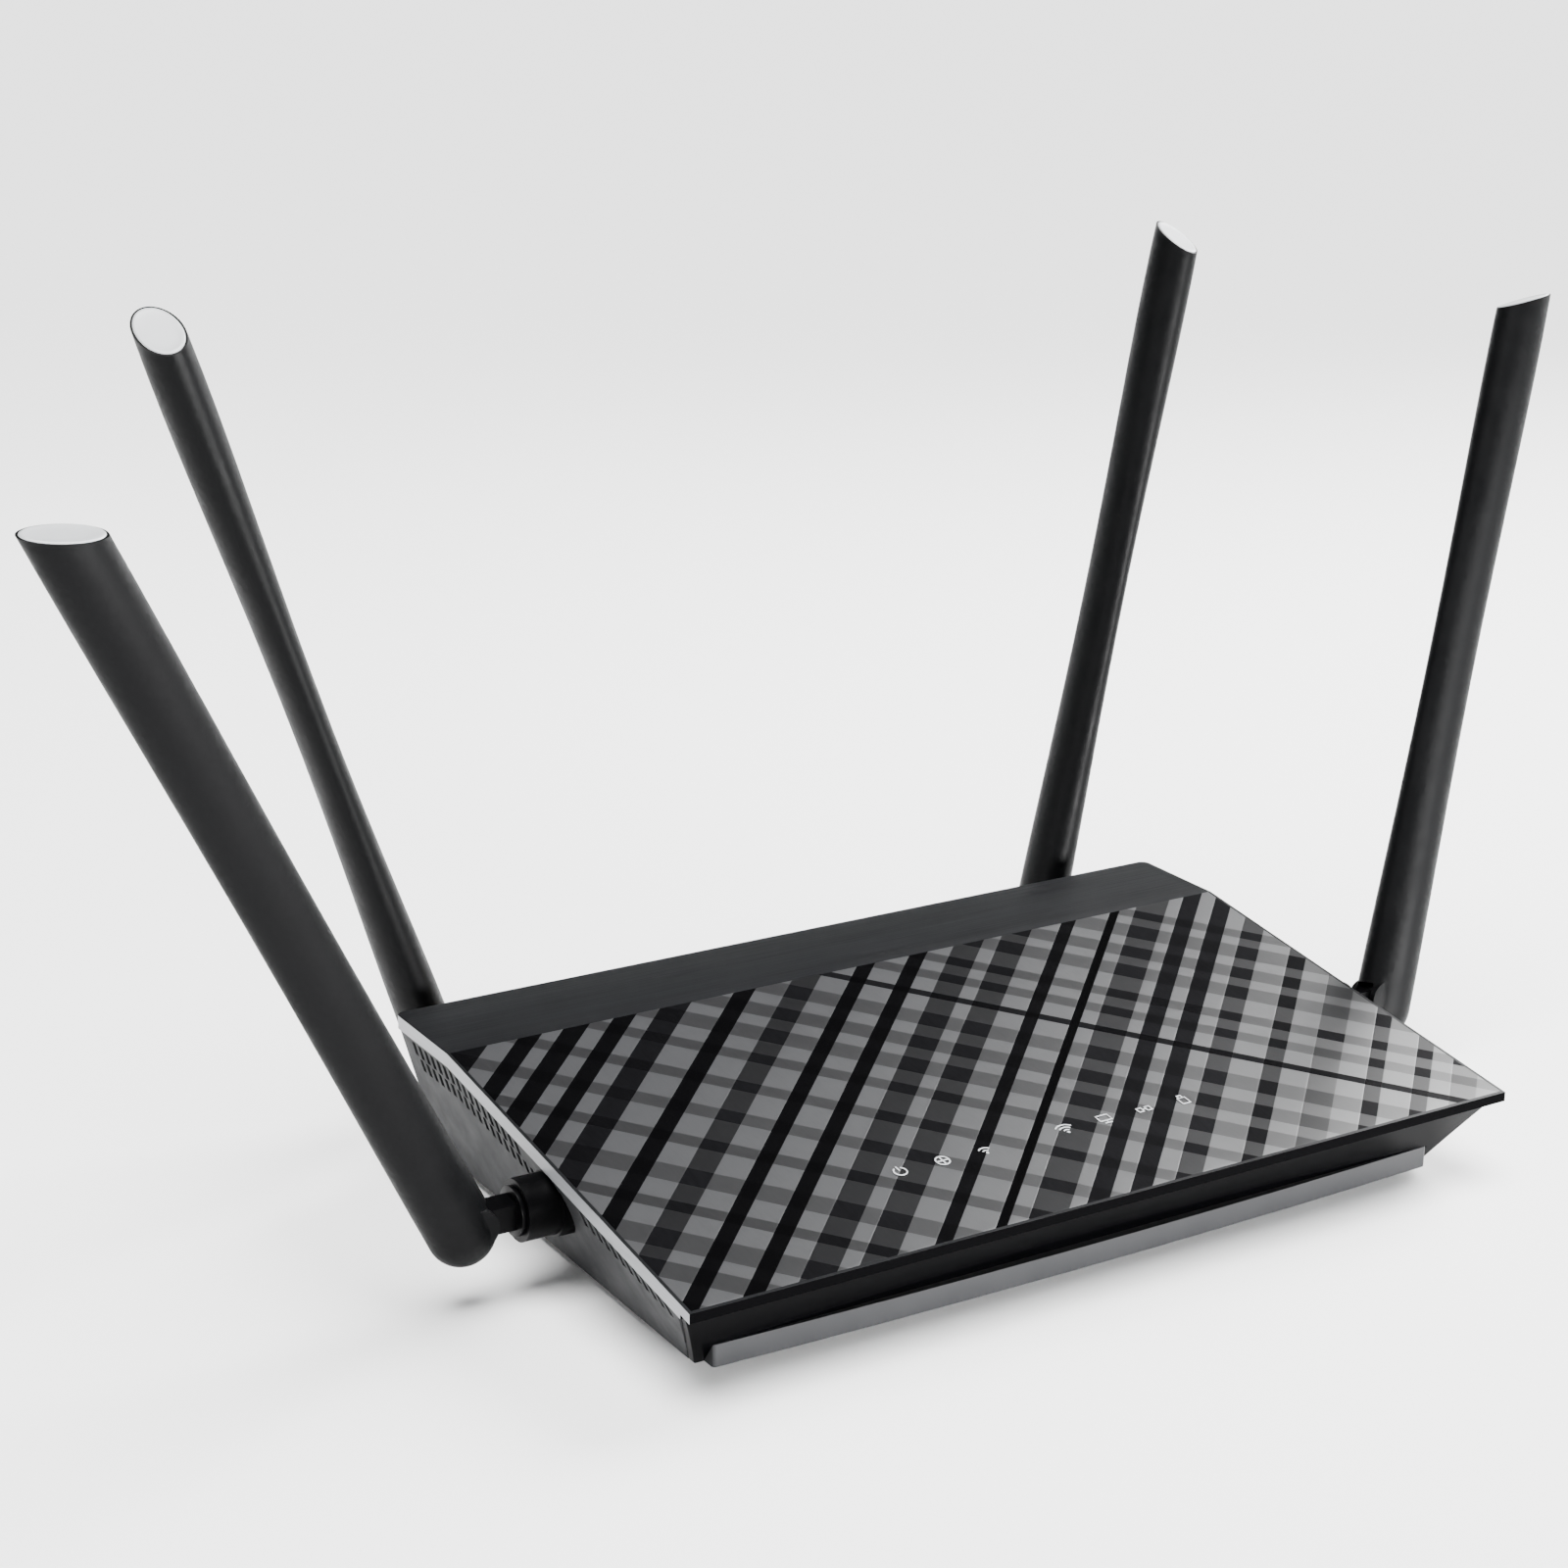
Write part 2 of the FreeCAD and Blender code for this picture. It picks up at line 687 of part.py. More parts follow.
def build_light_guides():
    """Clear rods from just above each LED up to the sloping surface of the cover."""
    rods = []
    height = panel_height("light_y", "0")
    for step in light_steps():
        start = f"{BOARD_TOP} + 1.2"
        rod = cylinder(f"rod_{step}", (light_x(step), "light_y", start), "z", "light_radius", "20")
        collar = cylinder(f"rod_collar_{step}",
                          (light_x(step), "light_y", f"{height} - cover_thick - 2.2"), "z",
                          "light_radius + 0.6", "1.6")
        rods.append(fuse(f"rod_with_collar_{step}", [rod, collar]))
    above = new_body("above_panel")
    profile = sketch_on(above, "above_profile", "YZ_Plane")
    polygon(profile, [
        ("-case_depth / 2", "front_height"),
        (BEND_Y, "rear_height"),
        (BEND_Y, "rear_height + 40"),
        ("-case_depth / 2", "rear_height + 40"),
    ])
    pad(above, profile, "case_width", midplane=True)
    trimmed = [cut(f"light_guide_{number}", rod, [above]) for number, rod in enumerate(rods)]
    keep(group("guides", trimmed), "light_guides")


# ---------------------------------------------------------------------------
# Connectors and push buttons on the rear panel
# ---------------------------------------------------------------------------
def jack_socket(name, centre_x):
    """Hollow of one eight-way network socket: plug space, latch notch and a narrow latch groove."""
    mouth = f"{REAR_WALL} - 14"
    plug = centred_box(name + "_plug", centre_x, mouth, f"{BOARD_TOP} + 4.4", ("11.8", "20", "7.2"))
    latch = centred_box(name + "_latch", centre_x, mouth, f"{BOARD_TOP} + 2.6", ("6.4", "20", "2.4"))
    groove = centred_box(name + "_groove", centre_x, mouth, f"{BOARD_TOP} + 1.4", ("3.4", "20", "2.0"))
    return [plug, latch, groove]


def port_centres():
    """X of the four grouped network ports, then of the single one."""
    grouped = [f"lan_x + ({step} - 1.5) * port_pitch" for step in range(4)]
    return grouped, "wan_x"


def build_network_jacks():
    grouped, single = port_centres()
    start = f"{REAR_WALL} - jack_depth"
    block = centred_box("lan_housing", "lan_x", start, BOARD_TOP,
                        ("lan_width", "jack_depth", "jack_height"))
    sockets = []
    for number, centre_x in enumerate(grouped):
        sockets += jack_socket(f"lan_socket_{number}", centre_x)
    keep(cut("lan_block", block, sockets), "network_jack_block")
    block = centred_box("wan_housing", single, start, BOARD_TOP,
                        ("jack_width", "jack_depth", "jack_height"))
    keep(cut("wan_block", block, jack_socket("wan_socket", single)), "internet_jack")
    wires = []
    for number, centre_x in enumerate(grouped + [single]):
        for step in range(8):
            x_text = f"{centre_x} + ({step} - 3.5) * 1.02 - 0.2"
            wires.append(box(f"contact_{number}_{step}",
                             (x_text, f"{REAR_WALL} - 14", f"{BOARD_TOP} + 10.4"), ("0.4", "10", "1.2")))
    keep(group("contacts", wires), "jack_contacts")


def build_usb_port():
    start = f"{REAR_WALL} - usb_depth"
    shell = centred_box("usb_outer", "usb_x", start, BOARD_TOP, ("usb_width", "usb_depth", "usb_height"))
    inside = centred_box("usb_inner", "usb_x", f"{start} + 1.5", f"{BOARD_TOP} + 0.35",
                         ("usb_width - 0.7", "usb_depth", "usb_height - 0.7"))
    keep(cut("usb_shell_cut", shell, [inside]), "usb_shell")
    keep(centred_box("usb_tongue_block", "usb_x", f"{start} + 1.5", f"{BOARD_TOP} + 3.2",
                     ("11.2", "usb_depth - 3.5", "1.8")), "usb_tongue")


def build_power_inlet():
    start = f"{REAR_WALL} - inlet_depth"
    axis_height = f"{BOARD_TOP} + 6"
    housing = centred_box("inlet_housing", "inlet_x", start, BOARD_TOP,
                          ("inlet_width", "inlet_depth", "inlet_height"))
    socket = cylinder("inlet_socket", ("inlet_x", f"{start} + 4", axis_height), "y", "3.1", "20")
    keep(cut("inlet_block", housing, [socket]), "power_inlet")
    pin = cylinder("inlet_pin_rod", ("inlet_x", f"{start} + 4", axis_height), "y", "1.0", "9")
    keep(pin, "inlet_pin")


def push_button(label, x_text, radius, reach, travel, stem_radius):
    """A round cap on a stem, with the switch body it presses behind it on the board."""
    cap_front = f"{REAR_WALL} + {reach}"
    cap_length = f"{reach} + 3.6"
    cap = cylinder(label + "_cap", (x_text, f"{cap_front} - ({cap_length})", "button_axis"), "y",
                   radius, cap_length)
    stem_length = "4"
    stem = cylinder(label + "_stem", (x_text, f"{cap_front} - ({cap_length}) - {stem_length}",
                                      "button_axis"), "y", stem_radius, f"{stem_length} + 0.5")
    keep(fuse(label + "_moving", [cap, stem]), label)
    switch_y = f"{cap_front} - ({cap_length}) - {stem_length} - ({travel}) - 0.3"
    keep(centred_box(label + "_switch_block", x_text, f"{switch_y} - 6", BOARD_TOP,
                     ("6.5", "6", f"button_axis - ({BOARD_TOP}) + 2.5")), label + "_switch")


def build_buttons():
    push_button("power_button", "power_button_x", "button_radius", "2.8", "button_travel", "1.5")
    push_button("wps_button", "wps_x", "wps_radius", "1.0", "wps_travel", "1.2")
    push_button("reset_button", "reset_x", "1.0", "-1.6", "reset_travel", "0.8")


# ---------------------------------------------------------------------------
# Antennas
# ---------------------------------------------------------------------------
# Each antenna is drawn in its own socket frame: +X out of the casing wall, +Z up, and Y along the
# hinge pin when the swivel is at rest. The blade is drawn upright with its origin on the pin.
def side_wall_x():
    """Where the slanted side wall's outer face crosses the side sockets' axis."""
    top = rim_height(size["side_socket_y"])
    share = (size["socket_height"] - size["foot_height"]) / (top - size["foot_height"])
    spread = size["case_width"] / 2 - size["rim_reveal"] - size["base_half_width"]
    return size["base_half_width"] + share * spread


def antenna_mounts():
    """Name, socket point, heading, and the stored swivel and tilt of each antenna, in degrees."""
    height = size["socket_height"]
    side_x = side_wall_x()
    rear_y = size["case_depth"] / 2 - 2
    side_y = size["side_socket_y"]
    rear_x = size["rear_socket_x"]
    return [
        ("left", Vector(-side_x, side_y, height), 180.0, -8.4, 27.1),
        ("right", Vector(side_x, side_y, height), 0.0, -14.1, 22.2),
        ("rear_left", Vector(-rear_x, rear_y, height), 90.0, -18.8, 0.3),
        ("rear_right", Vector(rear_x, rear_y, height), 90.0, 16.6, 6.7),
    ]


def build_collar(label, socket, case_outer):
    """Fixed collar on the wall, trimmed to the wall's slant, with a spigot through it."""

    def rod(tag, start, radius, length):
        piece = doc.addObject("Part::Cylinder", f"{label}_{tag}")
        bind(piece, "Radius", radius)
        bind(piece, "Height", length)
        piece.Placement = socket * Placement(Vector(start, 0, 0), AXIS_TURNS["x"])
        return piece

    depth = size["spigot_depth"]
    barrel = rod("barrel", -2.4, "collar_radius", "collar_length + 2.4")
    flange = rod("flange", -2.4, "collar_radius + 0.6", "4.2")
    outside = cut(f"{label}_outside", fuse(f"{label}_outer", [barrel, flange]), [case_outer])
    spigot = rod("spigot", -depth, "spigot_radius", "spigot_depth + 3")
    solid = fuse(f"{label}_collar_solid", [outside, spigot])
    bore = rod("bore", -depth - 4, "shaft_radius + running_gap", "collar_length + 20")
    keep(cut(f"{label}_collar_cut", solid, [bore]), f"{label}_antenna_collar")


def build_knuckle(label, place):
    """Swivel piece: snap head, shaft, flange, tongue and hinge eye, bored for the cable."""
    reach = size["pin_reach"]
    depth = size["spigot_depth"]
    head_start = str(-reach - depth - 1.2)
    shaft_start = str(-reach - depth - 0.7)
    head = cylinder(f"{label}_snap_head", (head_start, "0", "0"), "x", "shaft_radius + 0.9", "1.0")
    shaft = cylinder(f"{label}_shaft", (shaft_start, "0", "0"), "x", "shaft_radius",
                     "spigot_depth + collar_length + 1.2")
    disc = cylinder(f"{label}_disc", ("-pin_reach + collar_length + 0.2", "0", "0"), "x",
                    "shaft_radius + 2.2", "0.8")
    tongue = box(f"{label}_tongue", ("-pin_reach + collar_length + 0.7", "-tongue_half", "-3"),
                 ("pin_reach - collar_length - 0.7", "2 * tongue_half", "6"))
    eye = cylinder(f"{label}_eye", ("0", "-tongue_half", "0"), "y", "eye_radius", "2 * tongue_half")
    solid = fuse(f"{label}_knuckle_solid", [head, shaft, disc, tongue, eye])
    hinge_bore = cylinder(f"{label}_hinge_bore", ("0", "-10", "0"), "y", "pin_radius + running_gap", "20")
    cable_bore = cylinder(f"{label}_cable_bore", ("-pin_reach - 10", "0", "0"), "x", "1.2",
                          "collar_length + 10")
    item = keep(cut(f"{label}_knuckle_cut", solid, [hinge_bore, cable_bore]), f"{label}_antenna_knuckle")
    item.Placement = place


def blade_sections(label):
    """Flattened oval sections from the rounded foot through the waist to the tip."""
    stations = [
        ("-0.8", "blade_half_width", "blade_half_thick"),
        ("14", "blade_half_width - 0.1", "blade_half_thick - 0.2"),
        ("55", "blade_half_width - 0.5", "blade_half_thick - 1.4"),
        ("120", "blade_half_width - 0.6", "blade_half_thick - 1.2"),
        ("blade_length + 4", "blade_half_width - 0.6", "blade_half_thick - 0.9"),
    ]
    sections = []
    for number, (height, half_width, half_thick) in enumerate(stations):
        oval = doc.addObject("Part::Ellipse", f"{label}_section_{number}")
        bind(oval, "MajorRadius", half_width)
        bind(oval, "MinorRadius", half_thick)
        set_low_corner(oval, ("blade_offset", "0", height))
        sections.append(oval)
    return sections


def tip_cutter(label):
    """Everything above the slanted tip, which is lower on the side facing the casing."""
    body = new_body(f"{label}_tip_cutter")
    profile = sketch_on(body, f"{label}_tip_profile", "XZ_Plane")
    inner_edge = "blade_offset - blade_half_width - 2"
    outer_edge = "blade_offset + blade_half_width + 2"
    grade = "tip_drop / (2 * blade_half_width)"
    polygon(profile, [
        (inner_edge, f"blade_length - (2 * blade_half_width + 2) * {grade}"),
        (outer_edge, f"blade_length + 2 * {grade}"),
        (outer_edge, "blade_length + 20"),
        (inner_edge, "blade_length + 20"),
    ])
    pad(body, profile, "40", midplane=True)
    return body


def build_blade(label, place):
    """Hollow blade with a forked foot around the knuckle's eye, a pin from behind, and a radiator."""
    loft = doc.addObject("Part::Loft", f"{label}_loft")
    loft.Sections = blade_sections(label)
    loft.Solid = True
    foot = doc.addObject("Part::Ellipsoid", f"{label}_foot")
    bind(foot, "Radius1", "blade_half_width + 0.9")
    bind(foot, "Radius2", "blade_half_width")
    bind(foot, "Radius3", "blade_half_thick")
    set_low_corner(foot, ("blade_offset", "0", "-0.8"))
    ear = cylinder(f"{label}_ear", ("0", "-ear_half", "0"), "y", "eye_radius + 0.2", "2 * ear_half")
    solid = fuse(f"{label}_blade_solid", [loft, foot, ear])
    slot_half = "tongue_half + 0.3"
    swing = cylinder(f"{label}_swing", ("0", f"-({slot_half})", "0"), "y", "eye_radius + 0.5",
                     f"2 * ({slot_half})")
    open_side = box(f"{label}_open_side", ("-10", f"-({slot_half})", "-12"),
                    ("10 + 3.4", f"2 * ({slot_half})", "12 + 3.4"))
    cavity = box(f"{label}_cavity", ("blade_offset - 3.9", "-0.9", "6.5"), ("7.8", "1.8", "142"))
    pin_length = "2 * blade_half_thick - pin_cap - 0.4"
    if label == "right":
        pin_end = "-blade_half_thick + pin_cap"
        bore_end = pin_end
    else:
        pin_end = "-blade_half_thick + 0.4"
        bore_end = "blade_half_thick - pin_cap - 12"
    pin_bore = cylinder(f"{label}_pin_bore", ("0", bore_end, "0"), "y", "pin_radius", "12")
    blade = keep(cut(f"{label}_blade_cut", solid, [tip_cutter(label), swing, open_side, cavity, pin_bore]),
                 f"{label}_antenna_blade")
    rod = cylinder(f"{label}_pin", ("0", pin_end, "0"), "y", "pin_radius", pin_length)
    pin = keep(group(f"{label}_pin_solid", [rod]), f"{label}_hinge_pin")
    strip = box(f"{label}_strip", ("blade_offset - 3.5", "-0.4", "7.5"), ("7.0", "0.8", "140"))
    sleeve = box(f"{label}_sleeve", ("blade_offset - 1.4", "-0.9", "20"), ("2.8", "1.8", "55"))
    radiator = keep(fuse(f"{label}_radiator_solid", [strip, sleeve]), f"{label}_radiator")
    for item in (blade, pin, radiator):
        item.Placement = place


def build_antennas(case_outer):
    for label, point, heading, swivel, tilt in antenna_mounts():
        socket = Placement(point, Rotation(Vector(0, 0, 1), heading))
        build_collar(label, socket, case_outer)
        turned = socket * Placement(Vector(), Rotation(Vector(1, 0, 0), swivel))
        knuckle_place = turned * Placement(Vector(size["pin_reach"], 0, 0), Rotation())
        blade_place = knuckle_place * Placement(Vector(), Rotation(Vector(0, 1, 0), tilt))
        build_knuckle(label, knuckle_place)
        build_blade(label, blade_place)


# ---------------------------------------------------------------------------
# Antenna cables inside the casing
# ---------------------------------------------------------------------------
def rounded_path(points):
    """Straight runs joined by tangent arcs, as one wire."""
    edges = []
    start = points[0]
    for number in range(1, len(points) - 1):
        before = points[number] - points[number - 1]
        after = points[number + 1] - points[number]
        turn = before.getAngle(after)
        radius = 0.45 * min(before.Length, after.Length) / math.tan(turn / 2)
        setback = radius * math.tan(turn / 2)
        before.normalize()
        after.normalize()
        enter = points[number] - before * setback
        leave = points[number] + after * setback
        inward = after - before
        inward.normalize()
        middle = points[number] + inward * (radius / math.cos(turn / 2) - radius)
        edges.append(Part.LineSegment(start, enter).toShape())
        edges.append(Part.Arc(enter, middle, leave).toShape())
        start = leave
    edges.append(Part.LineSegment(start, points[-1]).toShape())
    return Part.Wire(edges)


def build_coax(label, points):
    """One antenna cable along its clipped route, from behind the collar to the board."""
    path = rounded_path([Vector(*point) for point in points])
    radius = size["coax_radius"]
    direction = Vector(*points[1]) - Vector(*points[0])
    section = Part.Wire([Part.makeCircle(radius, Vector(*points[0]), direction)])
    item = doc.addObject("Part::Feature", f"{label}_coax_tube")
    item.Shape = path.makePipeShell([section], True, True)
    expected = math.pi * radius ** 2 * path.Length
    if abs(item.Shape.Volume - expected) > 0.02 * expected:
        raise RuntimeError(label + " cable has the wrong volume")
    keep(item, f"{label}_antenna_cable")


def build_cables():
    """Routes from each collar down to a solder point beside its radio's shield can."""
    height = size["socket_height"]
    lying = size["board_bottom"] + size["board_thick"] + size["coax_radius"]
    side_x = side_wall_x() - size["spigot_depth"] - 1.6
    side_y = size["side_socket_y"]
    rear_x = size["rear_socket_x"]
    rear_y = size["case_depth"] / 2 - 2 - size["spigot_depth"] - 1.6
    build_coax("left", [
        (-side_x, side_y, height), (-side_x + 10, side_y, height - 1),
        (-side_x + 18, side_y - 1, lying + 1), (-side_x + 27, side_y - 3, lying),
        (-59, side_y - 5, lying),
    ])
    build_coax("right", [
        (side_x, side_y, height), (side_x - 9, side_y - 1, height - 1),
        (side_x - 16, side_y - 5, lying + 1), (side_x - 23, side_y - 10, lying),
        (67, side_y - 12, lying),
    ])
    build_coax("rear_left", [
        (-rear_x, rear_y, height), (-rear_x, rear_y - 8, height - 1),
        (-rear_x + 5, rear_y - 19, height - 6), (-rear_x + 8, rear_y - 30, lying + 1),
        (-rear_x + 12, rear_y - 44, lying), (-rear_x + 18, rear_y - 56, lying),
        (-59, rear_y - 62, lying),
    ])
    build_coax("rear_right", [
        (rear_x, rear_y, height), (rear_x, rear_y - 8, height - 1),
        (rear_x - 5, rear_y - 19, height - 6), (rear_x - 8, rear_y - 30, lying + 1),
        (rear_x - 10, rear_y - 46, lying), (rear_x - 13, rear_y - 60, lying),
        (67, rear_y - 72, lying),
    ])


# ---------------------------------------------------------------------------
# Build, check and export
# ---------------------------------------------------------------------------
def check_document():
    """Stop if any object failed, or any sub-part is missing or not valid."""
    faults = [item.Name for item in doc.Objects if "Invalid" in item.State or "Error" in item.State]
    for item in subparts:
        if item.Shape.isNull() or not item.Shape.isValid() or not item.Shape.Solids:
            faults.append(item.Label)
    if faults:
        raise RuntimeError("failed: " + ", ".join(faults))


def export_parts():
    os.makedirs("parts", exist_ok=True)
    for item in subparts:
        item.Shape.exportStep(f"parts/{item.Label}.step")


cover_part = build_cover()
build_bottom_case()
build_fascia(cover_part)
build_fastening()
build_electronics()
build_light_guides()
build_network_jacks()
build_usb_port()
build_power_inlet()
build_buttons()
build_antennas(doc.getObject("case_outer"))
build_cables()
doc.recompute()
check_document()
export_parts()
print(len(subparts), "sub-parts written")
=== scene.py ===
import json
import math

import bmesh
import bpy
from mathutils import Matrix, Vector


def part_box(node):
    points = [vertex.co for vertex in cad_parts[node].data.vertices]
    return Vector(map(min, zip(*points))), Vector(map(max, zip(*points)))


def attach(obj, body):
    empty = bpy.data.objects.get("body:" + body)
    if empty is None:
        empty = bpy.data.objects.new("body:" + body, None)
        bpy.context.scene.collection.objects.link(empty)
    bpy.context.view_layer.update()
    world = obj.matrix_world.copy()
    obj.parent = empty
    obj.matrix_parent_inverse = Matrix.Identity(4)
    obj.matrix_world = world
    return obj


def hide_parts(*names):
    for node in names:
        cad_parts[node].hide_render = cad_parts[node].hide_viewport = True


# The looks of a wireless router with four swivelling antennas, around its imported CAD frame.
# Metres, +Z up, +Y to the connector panel, so the low front edge faces -Y.

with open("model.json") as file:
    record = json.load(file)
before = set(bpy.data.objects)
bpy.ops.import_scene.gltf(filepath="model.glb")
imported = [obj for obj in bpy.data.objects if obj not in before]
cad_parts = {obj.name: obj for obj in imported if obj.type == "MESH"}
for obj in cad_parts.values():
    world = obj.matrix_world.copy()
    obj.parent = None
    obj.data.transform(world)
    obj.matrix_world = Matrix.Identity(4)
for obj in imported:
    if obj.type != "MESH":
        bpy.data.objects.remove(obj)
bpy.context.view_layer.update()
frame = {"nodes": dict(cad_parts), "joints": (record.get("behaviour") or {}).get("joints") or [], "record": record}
MM = 0.001
ANTENNAS = ("left", "right", "rear_left", "rear_right")
# The two families of threads on the sloping panel lean this far from the X axis, to opposite sides.
WARP_TURN = math.radians(44)
WEFT_TURN = math.radians(45.5)
# Moulded surfaces: sizes of the clouds in the colour and of the smudges in the gloss.
CLOUD_GRAIN = 18 * MM
SMUDGE_GRAIN = 7 * MM
# Brushed surfaces: width of the hairs and bands, and the stretch that draws them out along one axis.
HAIR_GRAIN = 0.32 * MM
BAND_GRAIN = 2.2 * MM
HAIR_STRETCH = 0.012


# ---------------------------------------------------------------------------
# Material helpers
# ---------------------------------------------------------------------------
def new_material(name, colour, roughness, **sockets):
    """A node material. Returns it, its tree and its shader, whose constants are set."""
    material = bpy.data.materials.new(name)
    material.use_nodes = True
    tree = material.node_tree
    shader = tree.nodes["Principled BSDF"]
    shader.inputs["Base Color"].default_value = (*colour, 1.0)
    shader.inputs["Roughness"].default_value = roughness
    for label, value in sockets.items():
        shader.inputs[label.replace("_", " ")].default_value = value
    return material, tree, shader


def add_node(tree, kind, inputs=None, **settings):
    """A node with its settings; an input is a number or another node's output."""
    node = tree.nodes.new(kind)
    for label, value in settings.items():
        setattr(node, label, value)
    for label, value in (inputs or {}).items():
        if isinstance(value, bpy.types.NodeSocket):
            tree.links.new(value, node.inputs[label])
        else:
            node.inputs[label].default_value = value
    return node


def place(tree, stretch=(1, 1, 1), turn=0.0):
    """The piece's own coordinates, stretched and turned about Z."""
    coordinates = add_node(tree, "ShaderNodeTexCoord")
    mapping = add_node(tree, "ShaderNodeMapping", {"Vector": coordinates.outputs["Object"]})
    mapping.inputs["Scale"].default_value = stretch
    mapping.inputs["Rotation"].default_value = (0, 0, turn)
    return mapping.outputs["Vector"]


def noise(tree, vector, grain, detail=2.0):
    """Noise from 0 to 1 whose lumps are about one grain long, in metres."""
    node = add_node(tree, "ShaderNodeTexNoise", {"Vector": vector})
    node.inputs["Scale"].default_value = 1 / grain
    node.inputs["Detail"].default_value = detail
    return node.outputs["Fac"]


def spread(tree, value, low, high, from_low=0.3, from_high=0.7):
    """Map a value to the range low to high."""
    node = add_node(tree, "ShaderNodeMapRange", {"Value": value})
    node.inputs["From Min"].default_value = from_low
    node.inputs["From Max"].default_value = from_high
    node.inputs["To Min"].default_value = low
    node.inputs["To Max"].default_value = high
    return node.outputs["Result"]


def shade(tree, fac, dark, light):
    """A colour between two, by a factor."""
    node = add_node(tree, "ShaderNodeMix", data_type="RGBA")
    tree.links.new(fac, node.inputs["Factor"])
    node.inputs["A"].default_value = (*dark, 1.0)
    node.inputs["B"].default_value = (*light, 1.0)
    return node.outputs["Result"]


def bump(tree, height, depth):
    """A bump of the given depth in metres."""
    inputs = {"Height": height, "Distance": depth, "Strength": 1.0}
    return add_node(tree, "ShaderNodeBump", inputs).outputs["Normal"]


def multiply(tree, first, second):
    """The product of two values."""
    return add_node(tree, "ShaderNodeMath", {0: first, 1: second}, operation="MULTIPLY").outputs[0]


def scaled(colour, factor):
    """A colour made darker or lighter by a factor."""
    return tuple(channel * factor for channel in colour)


def moulded(name, colour, roughness, grain, depth, uneven=0.12, **sockets):
    """Moulded plastic or rubber: fine texture, cloudy colour, and handling marks in the gloss."""
    material, tree, shader = new_material(name, colour, roughness, **sockets)
    vector = place(tree)
    clouds = noise(tree, vector, CLOUD_GRAIN, 3.0)
    specks = noise(tree, vector, grain, 2.0)
    colours = shade(tree, clouds, scaled(colour, 1 - uneven), scaled(colour, 1 + uneven))
    tree.links.new(colours, shader.inputs["Base Color"])
    smudges = noise(tree, vector, SMUDGE_GRAIN, 4.0)
    gloss = spread(tree, smudges, roughness * 0.88, min(1.0, roughness * 1.14))
    tree.links.new(gloss, shader.inputs["Roughness"])
    tree.links.new(bump(tree, specks, depth), shader.inputs["Normal"])
    return material


def brushed(name, colour, roughness, along, depth, uneven=0.25, **sockets):
    """A surface with fine lines along one axis: a long stretch there and hair-thin across."""
    material, tree, shader = new_material(name, colour, roughness, **sockets)
    stretch = [1.0, 1.0, 1.0]
    stretch["XYZ".index(along)] = HAIR_STRETCH
    vector = place(tree, stretch)
    hairs = noise(tree, vector, HAIR_GRAIN, 3.0)
    bands = noise(tree, vector, BAND_GRAIN, 2.0)
    streaks = add_node(tree, "ShaderNodeMath", {0: hairs, 1: bands}, operation="ADD").outputs[0]
    fac = spread(tree, streaks, 0.0, 1.0, 0.8, 1.2)
    colours = shade(tree, fac, scaled(colour, 1 - uneven), scaled(colour, 1 + uneven))
    tree.links.new(colours, shader.inputs["Base Color"])
    tree.links.new(spread(tree, hairs, roughness * 0.85, roughness * 1.2), shader.inputs["Roughness"])
    tree.links.new(bump(tree, hairs, depth), shader.inputs["Normal"])
    return material


# ---------------------------------------------------------------------------
# Materials
# ---------------------------------------------------------------------------
def thread_material(name, dark, sheen_pale, smooth, rough, level):
    """Threads of the sloping panel: each cell's tone, a painted sheen, sets how pale and how matt its fine ribs
    are.
    """
    material, tree, shader = new_material(name, dark, smooth, Specular_IOR_Level=level)
    sheen_tone = add_node(tree, "ShaderNodeAttribute", attribute_name="sheen_tone").outputs["Fac"]
    clouds = spread(tree, noise(tree, place(tree), 30 * MM, 2.0), 0.9, 1.1)
    hairs = noise(tree, place(tree, (1, 0.05, 1), WARP_TURN), 0.5 * MM, 3.0)
    uneven = multiply(tree, clouds, spread(tree, hairs, 0.75, 1.2))
    fac = multiply(tree, sheen_tone, uneven)
    # Paler colour by tone: painted sheen.
    tree.links.new(shade(tree, fac, dark, sheen_pale), shader.inputs["Base Color"])
    tree.links.new(spread(tree, sheen_tone, smooth, rough, 0.0, 1.0), shader.inputs["Roughness"])
    tree.links.new(bump(tree, hairs, 0.006 * MM), shader.inputs["Normal"])
    return material


def board_material():
    """Green solder mask with a faint net of copper tracks under it."""
    material, tree, shader = new_material("circuit_board", (0.02, 0.12, 0.06), 0.35)
    tracks = add_node(tree, "ShaderNodeTexBrick", {"Vector": place(tree)})
    tracks.inputs["Scale"].default_value = 1 / (3 * MM)
    tracks.inputs["Mortar Size"].default_value = 0.12
    tracks.inputs["Color1"].default_value = (0.018, 0.11, 0.055, 1)
    tracks.inputs["Color2"].default_value = (0.022, 0.13, 0.065, 1)
    tracks.inputs["Mortar"].default_value = (0.05, 0.2, 0.1, 1)
    tree.links.new(tracks.outputs["Color"], shader.inputs["Base Color"])
    tree.links.new(bump(tree, tracks.outputs["Fac"], 0.03 * MM), shader.inputs["Normal"])
    return material


